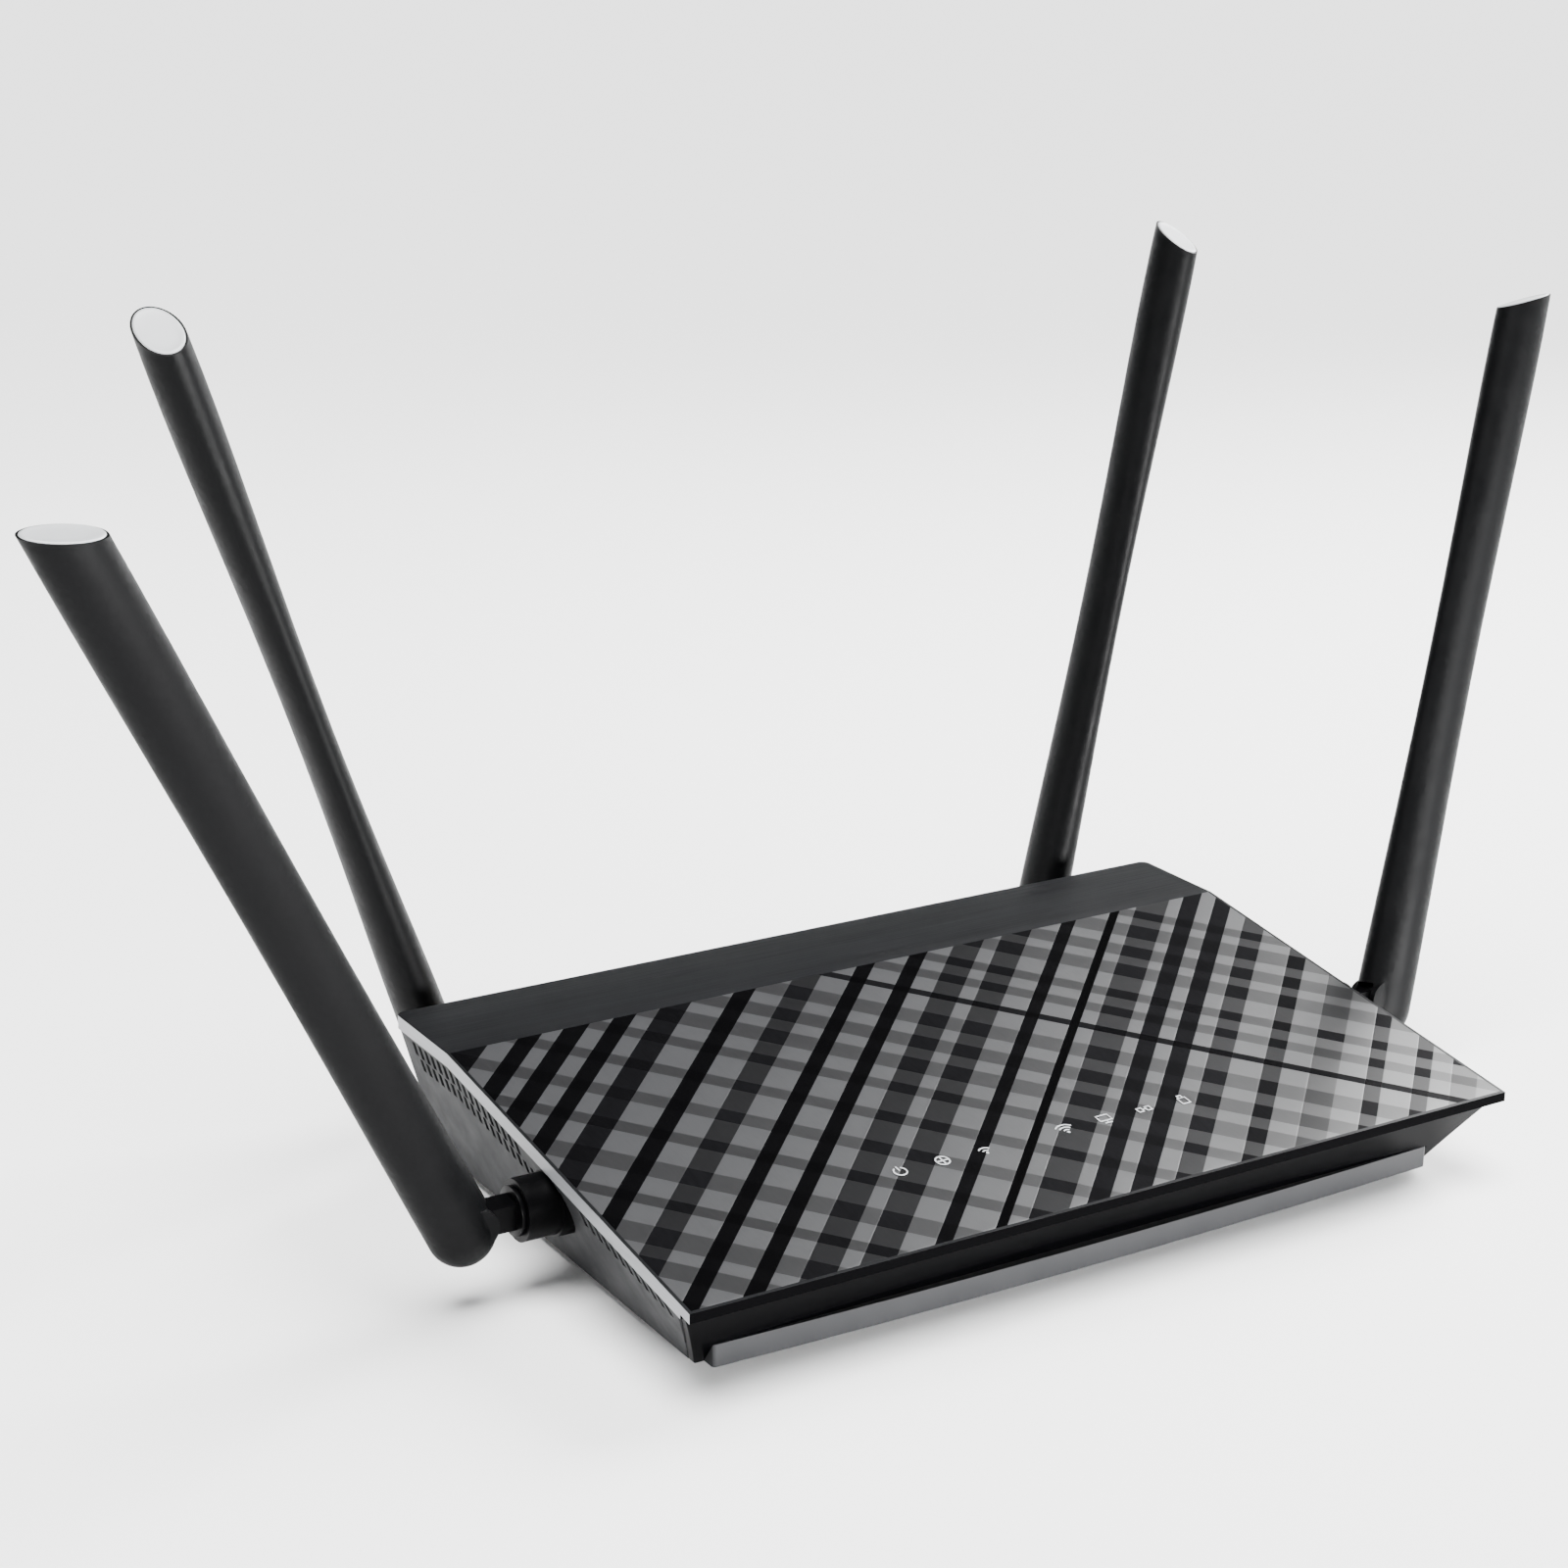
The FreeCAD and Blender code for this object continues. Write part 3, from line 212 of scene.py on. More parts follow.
def make_materials():
    """One material for each slot of the record, and a few more for the looks only."""
    return {
        "cover_plastic": brushed("cover_brushed", (0.005, 0.0052, 0.0058), 0.38, "X", 0.02 * MM,
                                 Specular_IOR_Level=0.11),
        # The cover's sides: a paler satin finish whose lightness is partly a painted reflection along the rim.
        "cover_rim_sheen": brushed("cover_rim_sheen", (0.2, 0.205, 0.215), 0.36, "Y", 0.006 * MM, 0.1),
        "case_plastic": moulded("case_plastic", (0.018, 0.0184, 0.0196), 0.6, 0.35 * MM, 0.02 * MM, 0.06,
                                Specular_IOR_Level=0.12),
        # Near-black and almost without gloss: black plastic darkened further as painted shade of the gap under the
        # cover's front.
        "fascia_plastic": moulded("fascia_plastic", (0.0007, 0.0007, 0.0009), 0.2, 0.8 * MM, 0.001 * MM,
                                  Specular_IOR_Level=0.012),
        "joint_plastic": moulded("joint_plastic", (0.001, 0.001, 0.0012), 0.34, 0.3 * MM, 0.006 * MM,
                                 Specular_IOR_Level=0.05),
        "band_plastic": moulded("band_plastic", (0.016, 0.0164, 0.018), 0.34, 0.35 * MM, 0.008 * MM,
                                Specular_IOR_Level=0.35),
        "antenna_plastic": moulded("antenna_plastic", (0.0012, 0.0013, 0.0015), 0.45, 0.3 * MM, 0.01 * MM,
                                   Specular_IOR_Level=0.07),
        "tip_plastic": moulded("tip_plastic", (0.42, 0.43, 0.44), 0.35, 0.3 * MM, 0.006 * MM, 0.05),
        "foot_rubber": moulded("foot_rubber", (0.03, 0.03, 0.03), 0.8, 0.3 * MM, 0.04 * MM),
        "clear_plastic": moulded("clear_plastic", (0.62, 0.66, 0.7), 0.35, 0.5 * MM, 0.01 * MM, 0.05,
                                 Transmission_Weight=0.4),
        "circuit_board": board_material(),
        "chip_resin": moulded("chip_resin", (0.02, 0.02, 0.021), 0.6, 0.15 * MM, 0.01 * MM),
        "tin_plate": brushed("tin_plate", (0.62, 0.62, 0.6), 0.32, "X", 0.004 * MM, 0.08, Metallic=1.0),
        "screw_steel": brushed("screw_steel", (0.45, 0.45, 0.46), 0.3, "X", 0.006 * MM, 0.1, Metallic=1.0),
        "sink_metal": brushed("sink_metal", (0.7, 0.7, 0.71), 0.35, "Y", 0.01 * MM, 0.1, Metallic=1.0),
        "pad_silicone": moulded("pad_silicone", (0.5, 0.56, 0.62), 0.7, 0.4 * MM, 0.03 * MM),
        "ferrite": moulded("ferrite", (0.06, 0.06, 0.065), 0.65, 0.2 * MM, 0.02 * MM),
        "capacitor_can": brushed("capacitor_can", (0.5, 0.52, 0.56), 0.3, "Z", 0.004 * MM, 0.1,
                                 Metallic=1.0),
        "contact_gold": brushed("contact_gold", (0.85, 0.62, 0.22), 0.22, "Y", 0.003 * MM, 0.08,
                                Metallic=1.0),
        "port_yellow": moulded("port_yellow", (0.62, 0.4, 0.02), 0.32, 0.5 * MM, 0.006 * MM, 0.06),
        "port_blue": moulded("port_blue", (0.015, 0.08, 0.36), 0.32, 0.5 * MM, 0.006 * MM, 0.06),
        "port_black": moulded("port_black", (0.012, 0.012, 0.012), 0.3, 0.5 * MM, 0.006 * MM),
        "button_plastic": moulded("button_plastic", (0.03, 0.03, 0.033), 0.4, 0.3 * MM, 0.01 * MM),
        "cable_sleeve": moulded("cable_sleeve", (0.04, 0.04, 0.04), 0.45, 0.3 * MM, 0.01 * MM),
        # Lit and unlit copies of one black thread plastic, paler and glossier by steps: painted sheen of threads
        # brushed in different directions.
        "unlit_thread": thread_material("unlit_thread", (0.0006, 0.0006, 0.0007), (0.016, 0.016, 0.018),
                                       0.26, 0.4, 0.02),
        "dim_sheen_thread": thread_material("dim_sheen_thread", (0.001, 0.001, 0.0012), (0.012, 0.012, 0.013),
                                      0.3, 0.4, 0.2),
        "middle_sheen_thread": thread_material("middle_sheen_thread", (0.001, 0.001, 0.0012), (0.012, 0.012, 0.013),
                                         0.3, 0.4, 0.55),
        "bright_sheen_thread": thread_material("bright_sheen_thread", (0.002, 0.002, 0.0022), (0.017, 0.0175, 0.019),
                                       0.3, 0.38, 1.0),
        "black_steel": brushed("black_steel", (0.02, 0.02, 0.022), 0.4, "Z", 0.004 * MM, 0.1, Metallic=1.0),
        "icon_print": moulded("icon_print", (0.36, 0.37, 0.38), 0.5, 0.2 * MM, 0.004 * MM, 0.04),
    }


MATERIALS = make_materials()


SLOTS = {part["node"]: part["material_slot"] for part in frame["record"]["subparts"]}
BODY_OF = {node: body for body, nodes in frame["record"]["behaviour"]["bodies"].items() for node in nodes}


def finish_cad_nodes():
    """Every CAD node gets the node material of its own slot; the hinge pins are blackened."""
    for node, piece in frame["nodes"].items():
        finish = "black_steel" if node.endswith("_hinge_pin") else SLOTS[node]
        for slot in piece.material_slots:
            slot.material = MATERIALS[finish]


# ---------------------------------------------------------------------------
# Mesh helpers
# ---------------------------------------------------------------------------
WELD_DISTANCE = 0.002 * MM
FLAT_ANGLE = math.radians(0.4)


def add_piece(name, mesh, body, slot, material=None):
    """A new piece that rides on a body and takes its finish from a slot."""
    piece = bpy.data.objects.new(name, mesh)
    bpy.context.scene.collection.objects.link(piece)
    if not mesh.materials:
        mesh.materials.append(material or MATERIALS[slot])
    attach(piece, body)
    return piece


def mesh_of(name, shape):
    """A mesh made from a bmesh, which is freed."""
    mesh = bpy.data.meshes.new(name)
    shape.normal_update()
    shape.to_mesh(mesh)
    shape.free()
    return mesh


def welded(node):
    """The CAD node's shape as a bmesh, welded, with as few flat faces as it needs."""
    source = frame["nodes"][node].data.copy()
    for layer in ("custom_normal", "sharp_edge", "sharp_face"):
        if layer in source.attributes:
            source.attributes.remove(source.attributes[layer])
    shape = bmesh.new()
    shape.from_mesh(source)
    bpy.data.meshes.remove(source)
    bmesh.ops.remove_doubles(shape, verts=shape.verts, dist=WELD_DISTANCE)
    bmesh.ops.dissolve_limit(shape, angle_limit=FLAT_ANGLE, verts=shape.verts, edges=shape.edges)
    bmesh.ops.triangulate(shape, faces=[face for face in shape.faces if len(face.verts) > 4])
    return shape


def soften(piece, width, steps=2, angle=35):
    """Round the piece's sharp edges a little and shade it smoothly."""
    for polygon in piece.data.polygons:
        polygon.use_smooth = True
    rounding = piece.modifiers.new("rounding", "BEVEL")
    rounding.width = width
    rounding.segments = steps
    rounding.limit_method = "ANGLE"
    rounding.angle_limit = math.radians(angle)
    rounding.miter_outer = "MITER_ARC"
    rounding.harden_normals = False
    weights = piece.modifiers.new("weights", "WEIGHTED_NORMAL")
    weights.keep_sharp = True
    weights.weight = 60


def rounded_copy(node, width, steps=2, angle=35, material=None):
    """A copy of a CAD node with rounded edges, which stands for it."""
    mesh = mesh_of(node + "_mesh", welded(node))
    mesh.materials.clear()
    piece = add_piece(node + "_rounded", mesh, BODY_OF[node], SLOTS[node], material)
    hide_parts(node)
    soften(piece, width, steps, angle)
    return piece


def assign(piece, material, wanted):
    """Give a second material to the faces for which wanted(centre, normal) is true."""
    piece.data.materials.append(material)
    index = len(piece.data.materials) - 1
    for polygon in piece.data.polygons:
        if wanted(polygon.center, polygon.normal):
            polygon.material_index = index


# ---------------------------------------------------------------------------
# Casing
# ---------------------------------------------------------------------------
COVER_LOW, COVER_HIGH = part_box("top_cover")
EDGE_TOLERANCE = 0.01 * MM
RIM_TOLERANCE = 0.1 * MM
BAND_HEIGHT = 5 * MM
BAND_DEPTH = 14 * MM


def panel_line():
    """Where the sloping panel meets the level strip, in Y, and the panel's slope."""
    mesh = frame["nodes"]["top_cover"].data
    top = [vertex.co for vertex in mesh.vertices if vertex.co.z > COVER_HIGH.z - EDGE_TOLERANCE]
    bend_y = min(point.y for point in top)
    front = [vertex.co for vertex in mesh.vertices if vertex.co.y < COVER_LOW.y + EDGE_TOLERANCE]
    lip = max(point.z for point in front)
    return bend_y, (COVER_HIGH.z - lip) / (bend_y - COVER_LOW.y)


BEND_Y, SLOPE = panel_line()


def on_panel(x, y, rise=0.0):
    """A point above the sloping panel."""
    return Vector((x, y, COVER_HIGH.z - (BEND_Y - y) * SLOPE + rise))


def build_casing():
    """Cover with sides made paler partly as painted reflection and a front edge blackened as painted shade, case
    with a grey band along its front, and fascia.
    """
    cover = rounded_copy("top_cover", 0.45 * MM, 3)
    side = COVER_HIGH.x - RIM_TOLERANCE
    # Side faces take the lighter rim material: partly a paler finish, partly painted reflection.
    assign(cover, MATERIALS["cover_rim_sheen"], lambda centre, normal: abs(centre.x) > side)
    # The cover's forward faces take the same near-black finish, painted shade of the dark band along the front.
    assign(cover, MATERIALS["fascia_plastic"], lambda centre, normal: normal.y < -0.8)
    case = rounded_copy("bottom_case", 0.2 * MM, 2)
    band_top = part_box("bottom_case")[0].z + BAND_HEIGHT
    band_back = COVER_LOW.y + BAND_DEPTH
    assign(case, MATERIALS["band_plastic"],
           lambda centre, normal: centre.y < band_back and centre.z < band_top and normal.y < -0.5)
    rounded_copy("front_fascia", 0.3 * MM, 3)


# ---------------------------------------------------------------------------
# Woven panel
# ---------------------------------------------------------------------------
# Two crossing families of diagonal threads, as (dark width, tone of the dark thread, light width), in
# millimetres from the panel's corner. A tone is from 0, black, to 1, pale, and is painted sheen: the light each
# cell's brushed threads catch.
WARP = (
    (6.0, 0.1, 5.0), (4.0, 0.05, 3.5), (4.5, 0.05, 4.0), (4.0, 0.05, 4.0), (5.5, 0.15, 7.5),
    (4.0, 0.05, 6.5), (5.5, 0.3, 6.5), (3.5, 0.05, 6.5), (3.5, 0.05, 5.0), (6.0, 0.3, 3.5),
    (6.0, 0.32, 6.0), (3.0, 0.08, 7.0), (2.0, 0.0, 3.5), (7.0, 0.38, 3.0), (4.0, 0.2, 3.5),
    (4.0, 0.2, 4.0), (5.0, 0.38, 7.0), (4.0, 0.25, 6.0), (6.0, 0.5, 6.0), (3.5, 0.3, 6.5),
    (3.5, 0.3, 4.5), (5.5, 0.5, 6.0),
)
WEFT = (
    (4.5, 0.6, 6.0), (5.5, 0.55, 4.0), (6.5, 0.6, 6.5), (3.5, 0.45, 6.5), (6.0, 0.6, 8.0),
    (4.0, 0.5, 8.0), (4.5, 0.6, 8.5), (4.0, 0.55, 8.5), (4.0, 0.55, 5.5), (6.0, 0.6, 4.5),
    (5.5, 0.55, 5.0), (6.0, 0.6, 7.0), (2.5, 0.2, 6.0), (4.0, 0.5, 4.5), (4.0, 0.45, 7.0),
    (6.0, 0.55, 4.0), (5.5, 0.5, 4.5), (6.5, 0.55, 4.0), (4.0, 0.5, 6.0),
)
WEFT_LEAD = -2 * MM
PANEL_MARGIN = 0.8 * MM
# The skin lies a hair above the cover, its skirt reaches down into it, and cells with more painted sheen stand
# higher.
SKIN_LIFT = 0.03 * MM
SKIRT_DEPTH = 0.4 * MM
CELL_BEVEL = 0.12 * MM
CELL_RISE = 0.006 * MM
SHEEN_CELL_RISE = 0.006 * MM
# Threads in order of painted sheen tone, with the tone above which each begins.
THREADS = (("unlit_thread", 0.0), ("dim_sheen_thread", 0.24), ("middle_sheen_thread", 0.42), ("bright_sheen_thread", 0.7))


def thread_edges(threads, start):
    """Where each dark and light thread ends, with its painted sheen tone, from a start in metres."""
    edges = []
    reach = start
    for dark, sheen_tone, light in threads:
        reach += dark * MM
        edges.append((reach, sheen_tone))
        reach += light * MM
        edges.append((reach, 1.0))
    return edges


def sheen_tone_at(edges, reach):
    """The painted sheen tone of the thread that covers a distance."""
    return next((sheen_tone for end, sheen_tone in edges if reach < end), 1.0)


def cut_cells(warp, weft, across_warp, across_weft):
    """The panel's rectangle, seen from above, cut along every thread edge, with a painted sheen tone for each
    cell.
    """
    low_x = COVER_LOW.x + PANEL_MARGIN
    high_x = COVER_HIGH.x - PANEL_MARGIN
    low_y = COVER_LOW.y + PANEL_MARGIN
    shape = bmesh.new()
    corners = ((low_x, low_y), (high_x, low_y), (high_x, BEND_Y), (low_x, BEND_Y))
    shape.faces.new([shape.verts.new((x, y, 0)) for x, y in corners])
    for across, edges in ((across_warp, warp), (across_weft, weft)):
        for reach, _ in edges:
            geometry = shape.verts[:] + shape.edges[:] + shape.faces[:]
            bmesh.ops.bisect_plane(shape, geom=geometry, plane_co=across * reach, plane_no=across)
    layer = shape.faces.layers.float.new("sheen_tone")
    for cell in shape.faces:
        centre = cell.calc_center_median()
        cell[layer] = sheen_tone_at(warp, across_warp.dot(centre)) * sheen_tone_at(weft, across_weft.dot(centre))
    return shape, layer


def raise_cells(shape, layer):
    """Make each cell a small plateau, add the skirt, and lay everything on the slope."""
    cells = shape.faces[:]
    bmesh.ops.inset_individual(shape, faces=cells, thickness=CELL_BEVEL, use_even_offset=True)
    raised = {vertex: CELL_RISE + SHEEN_CELL_RISE * cell[layer] for cell in cells for vertex in cell.verts}
    rim = [edge for edge in shape.edges if edge.is_boundary]
    skirt = bmesh.ops.extrude_edge_only(shape, edges=rim)["geom"]
    sunk = {item for item in skirt if isinstance(item, bmesh.types.BMVert)}
    for vertex in shape.verts:
        rise = -SKIRT_DEPTH if vertex in sunk else raised.get(vertex, 0.0) + SKIN_LIFT
        vertex.co = on_panel(vertex.co.x, vertex.co.y, rise)
    bmesh.ops.holes_fill(shape, edges=[edge for edge in shape.edges if edge.is_boundary], sides=0)
    bmesh.ops.recalc_face_normals(shape, faces=shape.faces)


def build_woven_panel():
    """A thin moulded skin on the slope: each crossing of threads is a small plateau of its own, with a material by
    its painted sheen tone.
    """
    across_warp = Vector((math.sin(WARP_TURN), -math.cos(WARP_TURN), 0))
    across_weft = Vector((math.sin(WEFT_TURN), math.cos(WEFT_TURN), 0))
    left_x = COVER_LOW.x + PANEL_MARGIN
    front_y = COVER_LOW.y + PANEL_MARGIN
    warp = thread_edges(WARP, across_warp.dot(Vector((left_x, BEND_Y, 0))))
    weft = thread_edges(WEFT, across_weft.dot(Vector((left_x, front_y, 0))) + WEFT_LEAD)
    shape, layer = cut_cells(warp, weft, across_warp, across_weft)
    raise_cells(shape, layer)
    # Each cell takes the copy that matches its painted sheen tone.
    for face in shape.faces:
        face.material_index = sum(face[layer] > start for _, start in THREADS[1:])
    mesh = mesh_of("woven_panel_mesh", shape)
    for name, _ in THREADS:
        mesh.materials.append(MATERIALS[name])
    add_piece("woven_panel", mesh, "root", "cover_plastic")


# ---------------------------------------------------------------------------
# Indicator marks
# ---------------------------------------------------------------------------
MARK_STROKE = 0.3
MARK_LIFT = (0.17 * MM, 0.24 * MM)
GUIDE_RADIUS = 1.7 * MM
# The marks share eight places in a row, and the fourth one stays empty.
MARK_PLACES = (0, 1, 2, 4, 5, 6, 7)


def arc(centre_x, centre_y, radius, start, end):
    """Points along an arc, in millimetres and degrees."""
    steps = max(6, int(abs(end - start) / 15))
    turns = [math.radians(start + (end - start) * step / steps) for step in range(steps + 1)]
    return [(centre_x + radius * math.cos(turn), centre_y + radius * math.sin(turn)) for turn in turns]


def signal(arcs):
    """A dot with waves above it."""
    dot = arc(0, -1.2, 0.18, 0, 360)
    return [dot] + [arc(0, -1.2, 0.95 * (step + 1), 45, 135) for step in range(arcs)]


def frame_mark(low_x, low_y, high_x, high_y):
    """The outline of a rectangle."""
    return [(low_x, low_y), (high_x, low_y), (high_x, high_y), (low_x, high_y), (low_x, low_y)]


def indicator_marks():
    """Plain pictograms: power, wide network, two wireless bands, wired port, link and storage."""
    power = [arc(0, 0, 1.4, 120, 420), [(0, 0.3), (0, 1.8)]]
    globe = [arc(0, 0, 1.5, 0, 360), [(-1.5, 0), (1.5, 0)], [(0, -1.5), (0, 1.5)]]
    wired = [frame_mark(-1.5, -0.5, 1.5, 1.5), [(0, -0.5), (0, -1.4)], [(-0.9, -1.4), (0.9, -1.4)]]
    link = [frame_mark(-1.7, -0.7, -0.5, 0.7), frame_mark(0.5, -0.7, 1.7, 0.7), [(-0.5, 0), (0.5, 0)]]
    storage = [frame_mark(-1.0, -1.6, 1.0, 0.6), [(-0.5, 0.6), (-0.5, 1.5), (0.5, 1.5), (0.5, 0.6)]]
    return [power, globe, signal(2), signal(3), wired, link, storage]


def add_stroke(shape, points, width, origin):
    """A flat printed line through points, laid on the panel at an origin."""
    half = width / 2
    rows = []
    for number, point in enumerate(points):
        before = Vector(points[max(0, number - 1)])
        after = Vector(points[min(len(points) - 1, number + 1)])
        along = (after - before).normalized()
        sideways = Vector((-along.y, along.x)) * half
        row = []
        for side, lift in ((1, 0), (1, 1), (-1, 1), (-1, 0)):
            spot = (Vector(point) + sideways * side) * MM + origin
            row.append(shape.verts.new(on_panel(spot.x, spot.y, MARK_LIFT[lift])))
        rows.append(row)
    for row, following in zip(rows, rows[1:]):
        for number in range(4):
            other = (number + 1) % 4
            shape.faces.new((row[number], row[other], following[other], following[number]))
    shape.faces.new(rows[0])
    shape.faces.new(reversed(rows[-1]))


def build_indicator_marks():
    """One printed mark over each light guide."""
    low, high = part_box("light_guides")
    first = low.x + GUIDE_RADIUS
    pitch = (high.x - GUIDE_RADIUS - first) / MARK_PLACES[-1]
    line = (low.y + high.y) / 2
    for step, strokes in zip(MARK_PLACES, indicator_marks()):
        shape = bmesh.new()
        for points in strokes:
            add_stroke(shape, points, MARK_STROKE, Vector((first + step * pitch, line)))
        bmesh.ops.recalc_face_normals(shape, faces=shape.faces)
        mesh = mesh_of(f"indicator_mark_{step}_mesh", shape)
        add_piece(f"indicator_mark_{step}", mesh, "root", "clear_plastic", MATERIALS["icon_print"])


# ---------------------------------------------------------------------------
# Antennas
# ---------------------------------------------------------------------------
TIP_REACH = 14 * MM
# Section of the insert in a blade's end, as (inset from the edge, height above it), in millimetres.
TIP_RINGS = ((0.5, -0.5), (0.5, 0.08), (0.7, 0.24), (1.1, 0.28), (1.5, 0.2), (2.2, 0.14), (3.2, 0.12))
LEAST_SHRINK = 0.05


def joint_point(name):
    """Where a joint's axis passes, from the record."""
    joint = next(item for item in frame["joints"] if item["name"] == name)
    return Vector(joint["pos_m"])


def tip_face(node, pin):
    """Points and normal of the blade's flat slanted end, the largest flat face far from the pin."""
    mesh = frame["nodes"][node].data
    reach = max((vertex.co - pin).length for vertex in mesh.vertices)
    areas = {}
    for polygon in mesh.polygons:
        if (polygon.center - pin).length > reach - TIP_REACH:
            key = tuple(round(value, 2) for value in polygon.normal)
            areas.setdefault(key, []).append(polygon)
    flat = max(areas.values(), key=lambda group: sum(polygon.area for polygon in group))
    points = {tuple(round(value, 7) for value in mesh.vertices[number].co)
              for polygon in flat for number in polygon.vertices}
    return [Vector(point) for point in points], flat[0].normal.copy()


def build_tip(label):
    """The pale insert in the slanted end of a blade: a shallow dish with a rounded rim."""
    node = label + "_antenna_blade"
    points, normal = tip_face(node, joint_point(label + "_antenna_tilt"))
    centre = sum(points, Vector()) / len(points)
    side = normal.orthogonal().normalized()
    other = normal.cross(side)
    points.sort(key=lambda point: math.atan2((point - centre).dot(other), (point - centre).dot(side)))
    low = Vector((min((point - centre).dot(side) for point in points),
                  min((point - centre).dot(other) for point in points)))
    high = Vector((max((point - centre).dot(side) for point in points),
                   max((point - centre).dot(other) for point in points)))
    centre += side * (low.x + high.x) / 2 + other * (low.y + high.y) / 2
    shape = bmesh.new()
    rows = []
    for inset, rise in TIP_RINGS:
        row = []
        for point in points:
            outward = point - centre
            shrink = max(LEAST_SHRINK, 1 - inset * MM / outward.length)
            row.append(shape.verts.new(centre + outward * shrink + normal * rise * MM))
        rows.append(row)
    total = len(points)
    for row, following in zip(rows, rows[1:]):
        for number in range(total):
            after = (number + 1) % total
            shape.faces.new((row[number], row[after], following[after], following[number]))
    shape.faces.new(rows[0])
    shape.faces.new(rows[-1])
    bmesh.ops.recalc_face_normals(shape, faces=shape.faces)
    mesh = mesh_of(label + "_tip_insert_mesh", shape)
    for polygon in mesh.polygons:
        polygon.use_smooth = True
    add_piece(label + "_tip_insert", mesh, label + "_antenna", "antenna_plastic", MATERIALS["tip_plastic"])


def build_antennas():
    """Rounded blade, knuckle and collar of each antenna, and the insert in its tip."""
    for label in ANTENNAS:
        rounded_copy(label + "_antenna_blade", 0.35 * MM, 3, 40)
        rounded_copy(label + "_antenna_knuckle", 0.25 * MM, 2, 40, MATERIALS["joint_plastic"])
        rounded_copy(label + "_antenna_collar", 0.4 * MM, 3, 40, MATERIALS["joint_plastic"])
        build_tip(label)


# ---------------------------------------------------------------------------
# Connectors, buttons and feet
# ---------------------------------------------------------------------------
def build_fittings():
    """Rounded copies of the smaller pieces that show at the back and underneath."""
    for node in ("network_jack_block", "internet_jack", "power_inlet", "usb_tongue"):
        rounded_copy(node, 0.2 * MM, 2)
    rounded_copy("usb_shell", 0.12 * MM, 2)
    for node in ("power_button", "wps_button", "reset_button"):
        rounded_copy(node, 0.35 * MM, 3)
    rounded_copy("rubber_feet", 0.5 * MM, 3)
    rounded_copy("case_screws", 0.2 * MM, 2)


# ---------------------------------------------------------------------------
# Stage: floor, backdrop, lights and camera
# ---------------------------------------------------------------------------
FLOOR_HALF = 12.0
BACKDROP_RADIUS = 11.5
BACKDROP_HEIGHT = 1.7


def build_floor():
    """A plain pale floor, wide enough to reach past the backdrop."""
    mesh = bpy.data.meshes.new("floor_mesh")
    half = FLOOR_HALF
    mesh.from_pydata([(-half, -half, 0), (half, -half, 0), (half, half, 0), (-half, half, 0)], [],
                     [(0, 1, 2, 3)])
    floor = bpy.data.objects.new("floor", mesh)
    bpy.context.scene.collection.objects.link(floor)
    material, _, shader = new_material("floor", (0.9, 0.9, 0.9), 0.9)
    shader.inputs["Specular IOR Level"].default_value = 0.1
    mesh.materials.append(material)


def build_backdrop():
    """A low pale screen all round, far away, so that the floor has no dark horizon."""
    shape = bmesh.new()
    bmesh.ops.create_cone(shape, cap_ends=False, segments=96, radius1=BACKDROP_RADIUS,
                          radius2=BACKDROP_RADIUS, depth=BACKDROP_HEIGHT,
                          matrix=Matrix.Translation((0, 0, BACKDROP_HEIGHT / 2)))
    bmesh.ops.reverse_faces(shape, faces=shape.faces)
    screen = bpy.data.objects.new("backdrop", mesh_of("backdrop_mesh", shape))
    bpy.context.scene.collection.objects.link(screen)
    material, _, shader = new_material("backdrop", (0.9, 0.9, 0.9), 0.9)
    shader.inputs["Emission Color"].default_value = (0.96, 0.98, 1.0, 1.0)
    shader.inputs["Emission Strength"].default_value = 1.9
    screen.data.materials.append(material)


def add_light(name, kind, energy, location, target, **settings):
    """A light of a kind and strength, turned to a target."""
    data = bpy.data.lights.new(name, kind)
    data.energy = energy
    for label, value in settings.items():
        setattr(data, label, value)
    light = bpy.data.objects.new(name, data)
    bpy.context.scene.collection.objects.link(light)
    light.location = location
    light.rotation_mode = "QUATERNION"
    light.rotation_quaternion = (Vector(target) - Vector(location)).to_track_quat("-Z", "Y")


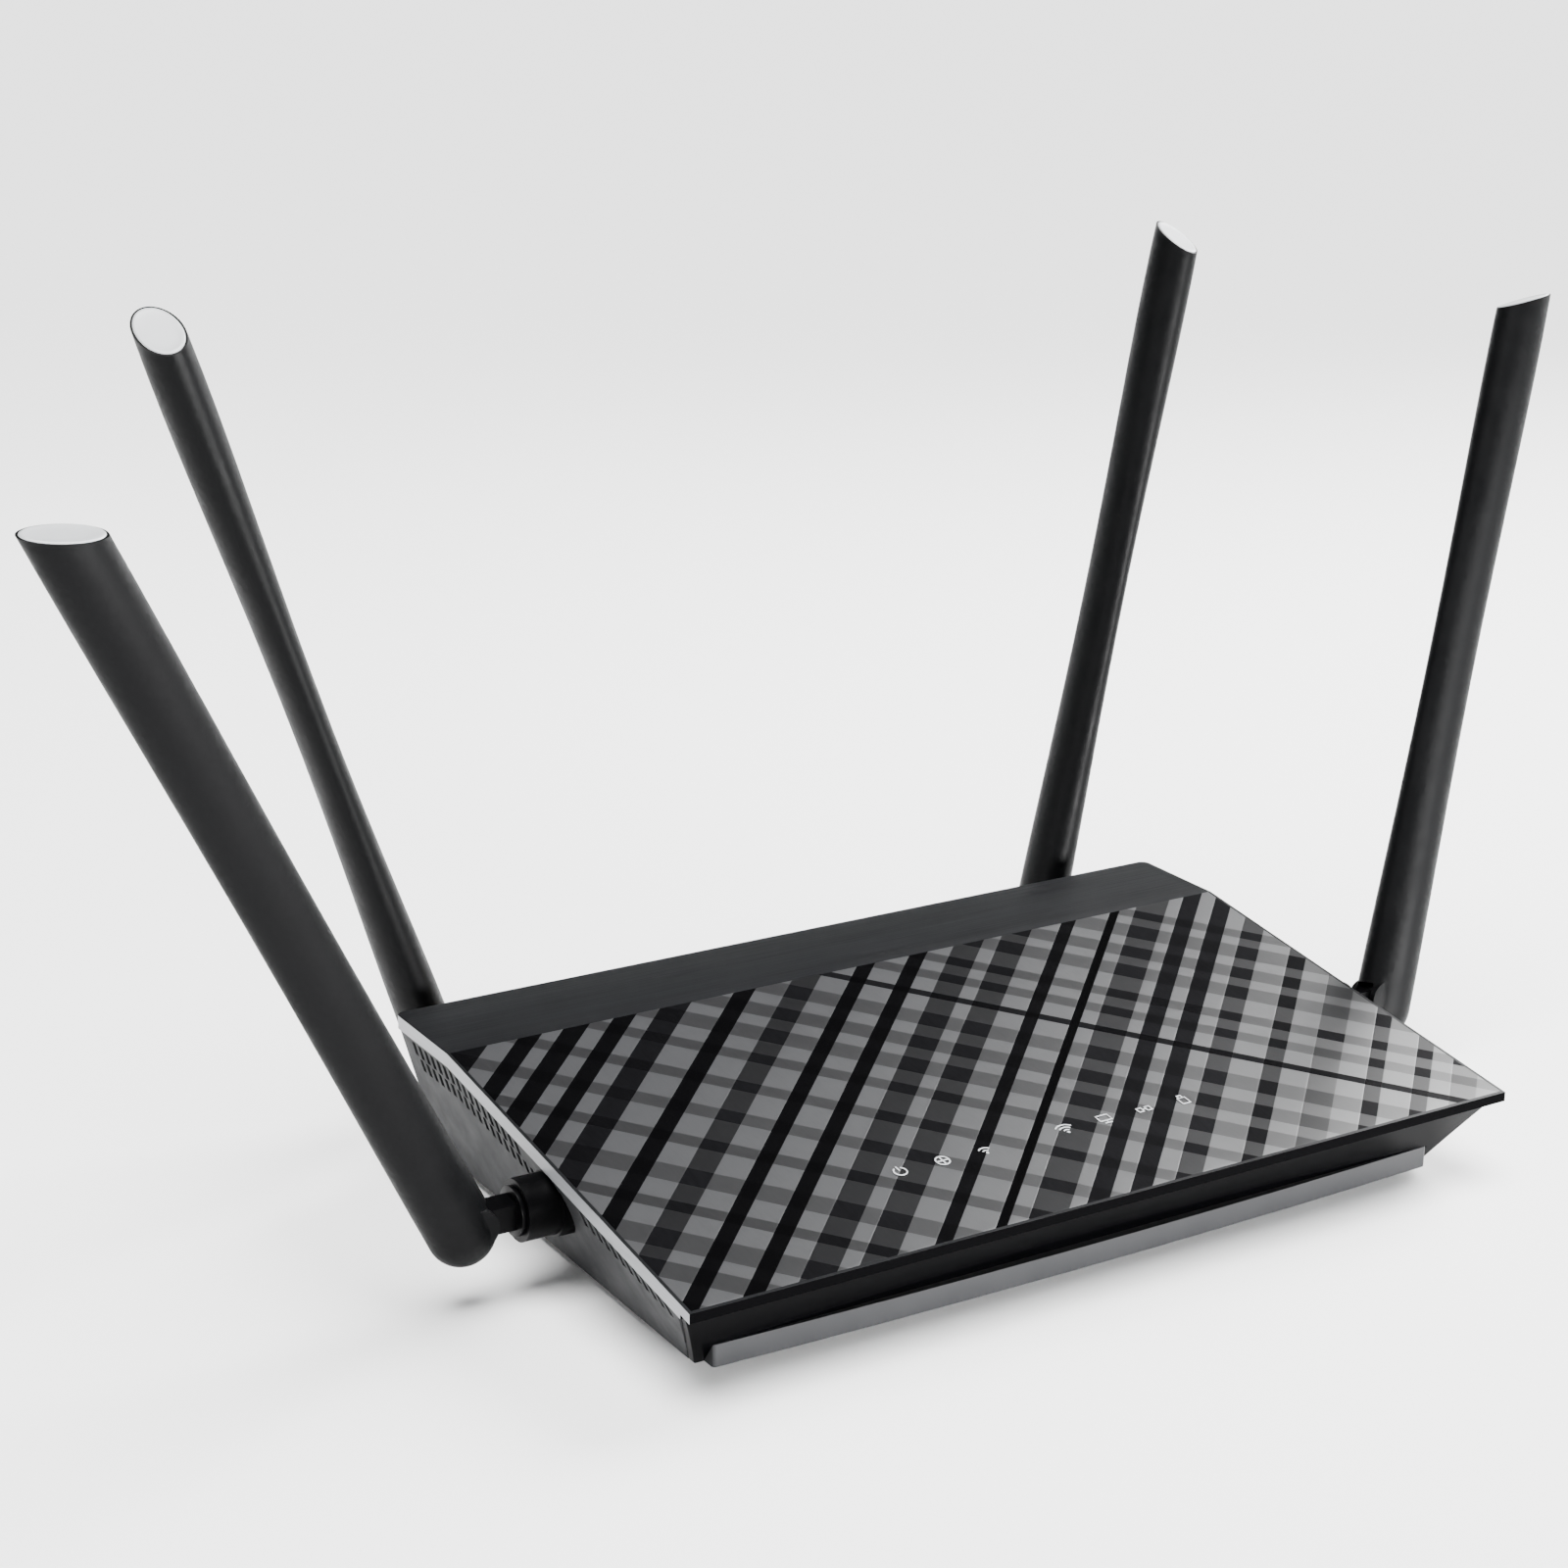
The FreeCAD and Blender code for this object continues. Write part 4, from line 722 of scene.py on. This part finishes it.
def around(azimuth, elevation, distance):
    """A point round the object: azimuth from +Y towards +X, in degrees and metres."""
    turn = math.radians(azimuth)
    rise = math.radians(elevation)
    return (distance * math.sin(turn) * math.cos(rise), distance * math.cos(turn) * math.cos(rise),
            distance * math.sin(rise))


def build_lights():
    """Soft light from above, a box on each side, and a long low box for the front edges."""
    centre = (0, 0, 0.03)
    add_light("overhead", "SUN", 9.4, (-0.3, -0.3, 2.0), centre, angle=math.radians(40))
    add_light("right_box", "AREA", 15.5, around(78, 33, 1.3), centre, shape="RECTANGLE", size=0.7,
              size_y=0.9, spread=math.radians(90))
    add_light("left_box", "AREA", 5.0, around(-100, 20, 1.4), centre, shape="RECTANGLE", size=0.6,
              size_y=0.8)
    add_light("front_box", "AREA", 17.0, around(164, 6, 1.3), centre, shape="RECTANGLE", size=0.9,
              size_y=0.24, spread=math.radians(90))
    world = bpy.data.worlds.new("studio")
    world.use_nodes = True
    world.node_tree.nodes["Background"].inputs["Color"].default_value = (0.94, 0.97, 1.0, 1.0)
    world.node_tree.nodes["Background"].inputs["Strength"].default_value = 0.05
    bpy.context.scene.world = world


def build_camera():
    """A long lens from the front left, a little above the object."""
    azimuth = math.radians(-31.9)
    elevation = math.radians(17.8)
    roll = math.radians(0.9)
    distance = 0.6479
    target = Vector((-0.0272, 0.0270, 0.0866))
    back = Vector((math.sin(azimuth) * math.cos(elevation), -math.cos(azimuth) * math.cos(elevation),
                   math.sin(elevation)))
    level = Vector((math.cos(azimuth), math.sin(azimuth), 0))
    right = level * math.cos(roll) + back.cross(level) * math.sin(roll)
    up = back.cross(right)
    data = bpy.data.cameras.new("camera")
    data.sensor_width = 36.0
    data.lens = 69.51
    camera = bpy.data.objects.new("camera", data)
    bpy.context.scene.collection.objects.link(camera)
    rotation = Matrix((right, up, back)).transposed()
    camera.matrix_world = Matrix.Translation(target + back * distance) @ rotation.to_4x4()
    bpy.context.scene.camera = camera


finish_cad_nodes()
build_casing()
build_woven_panel()
build_indicator_marks()
build_antennas()
build_fittings()
build_floor()
build_backdrop()
build_lights()
build_camera()
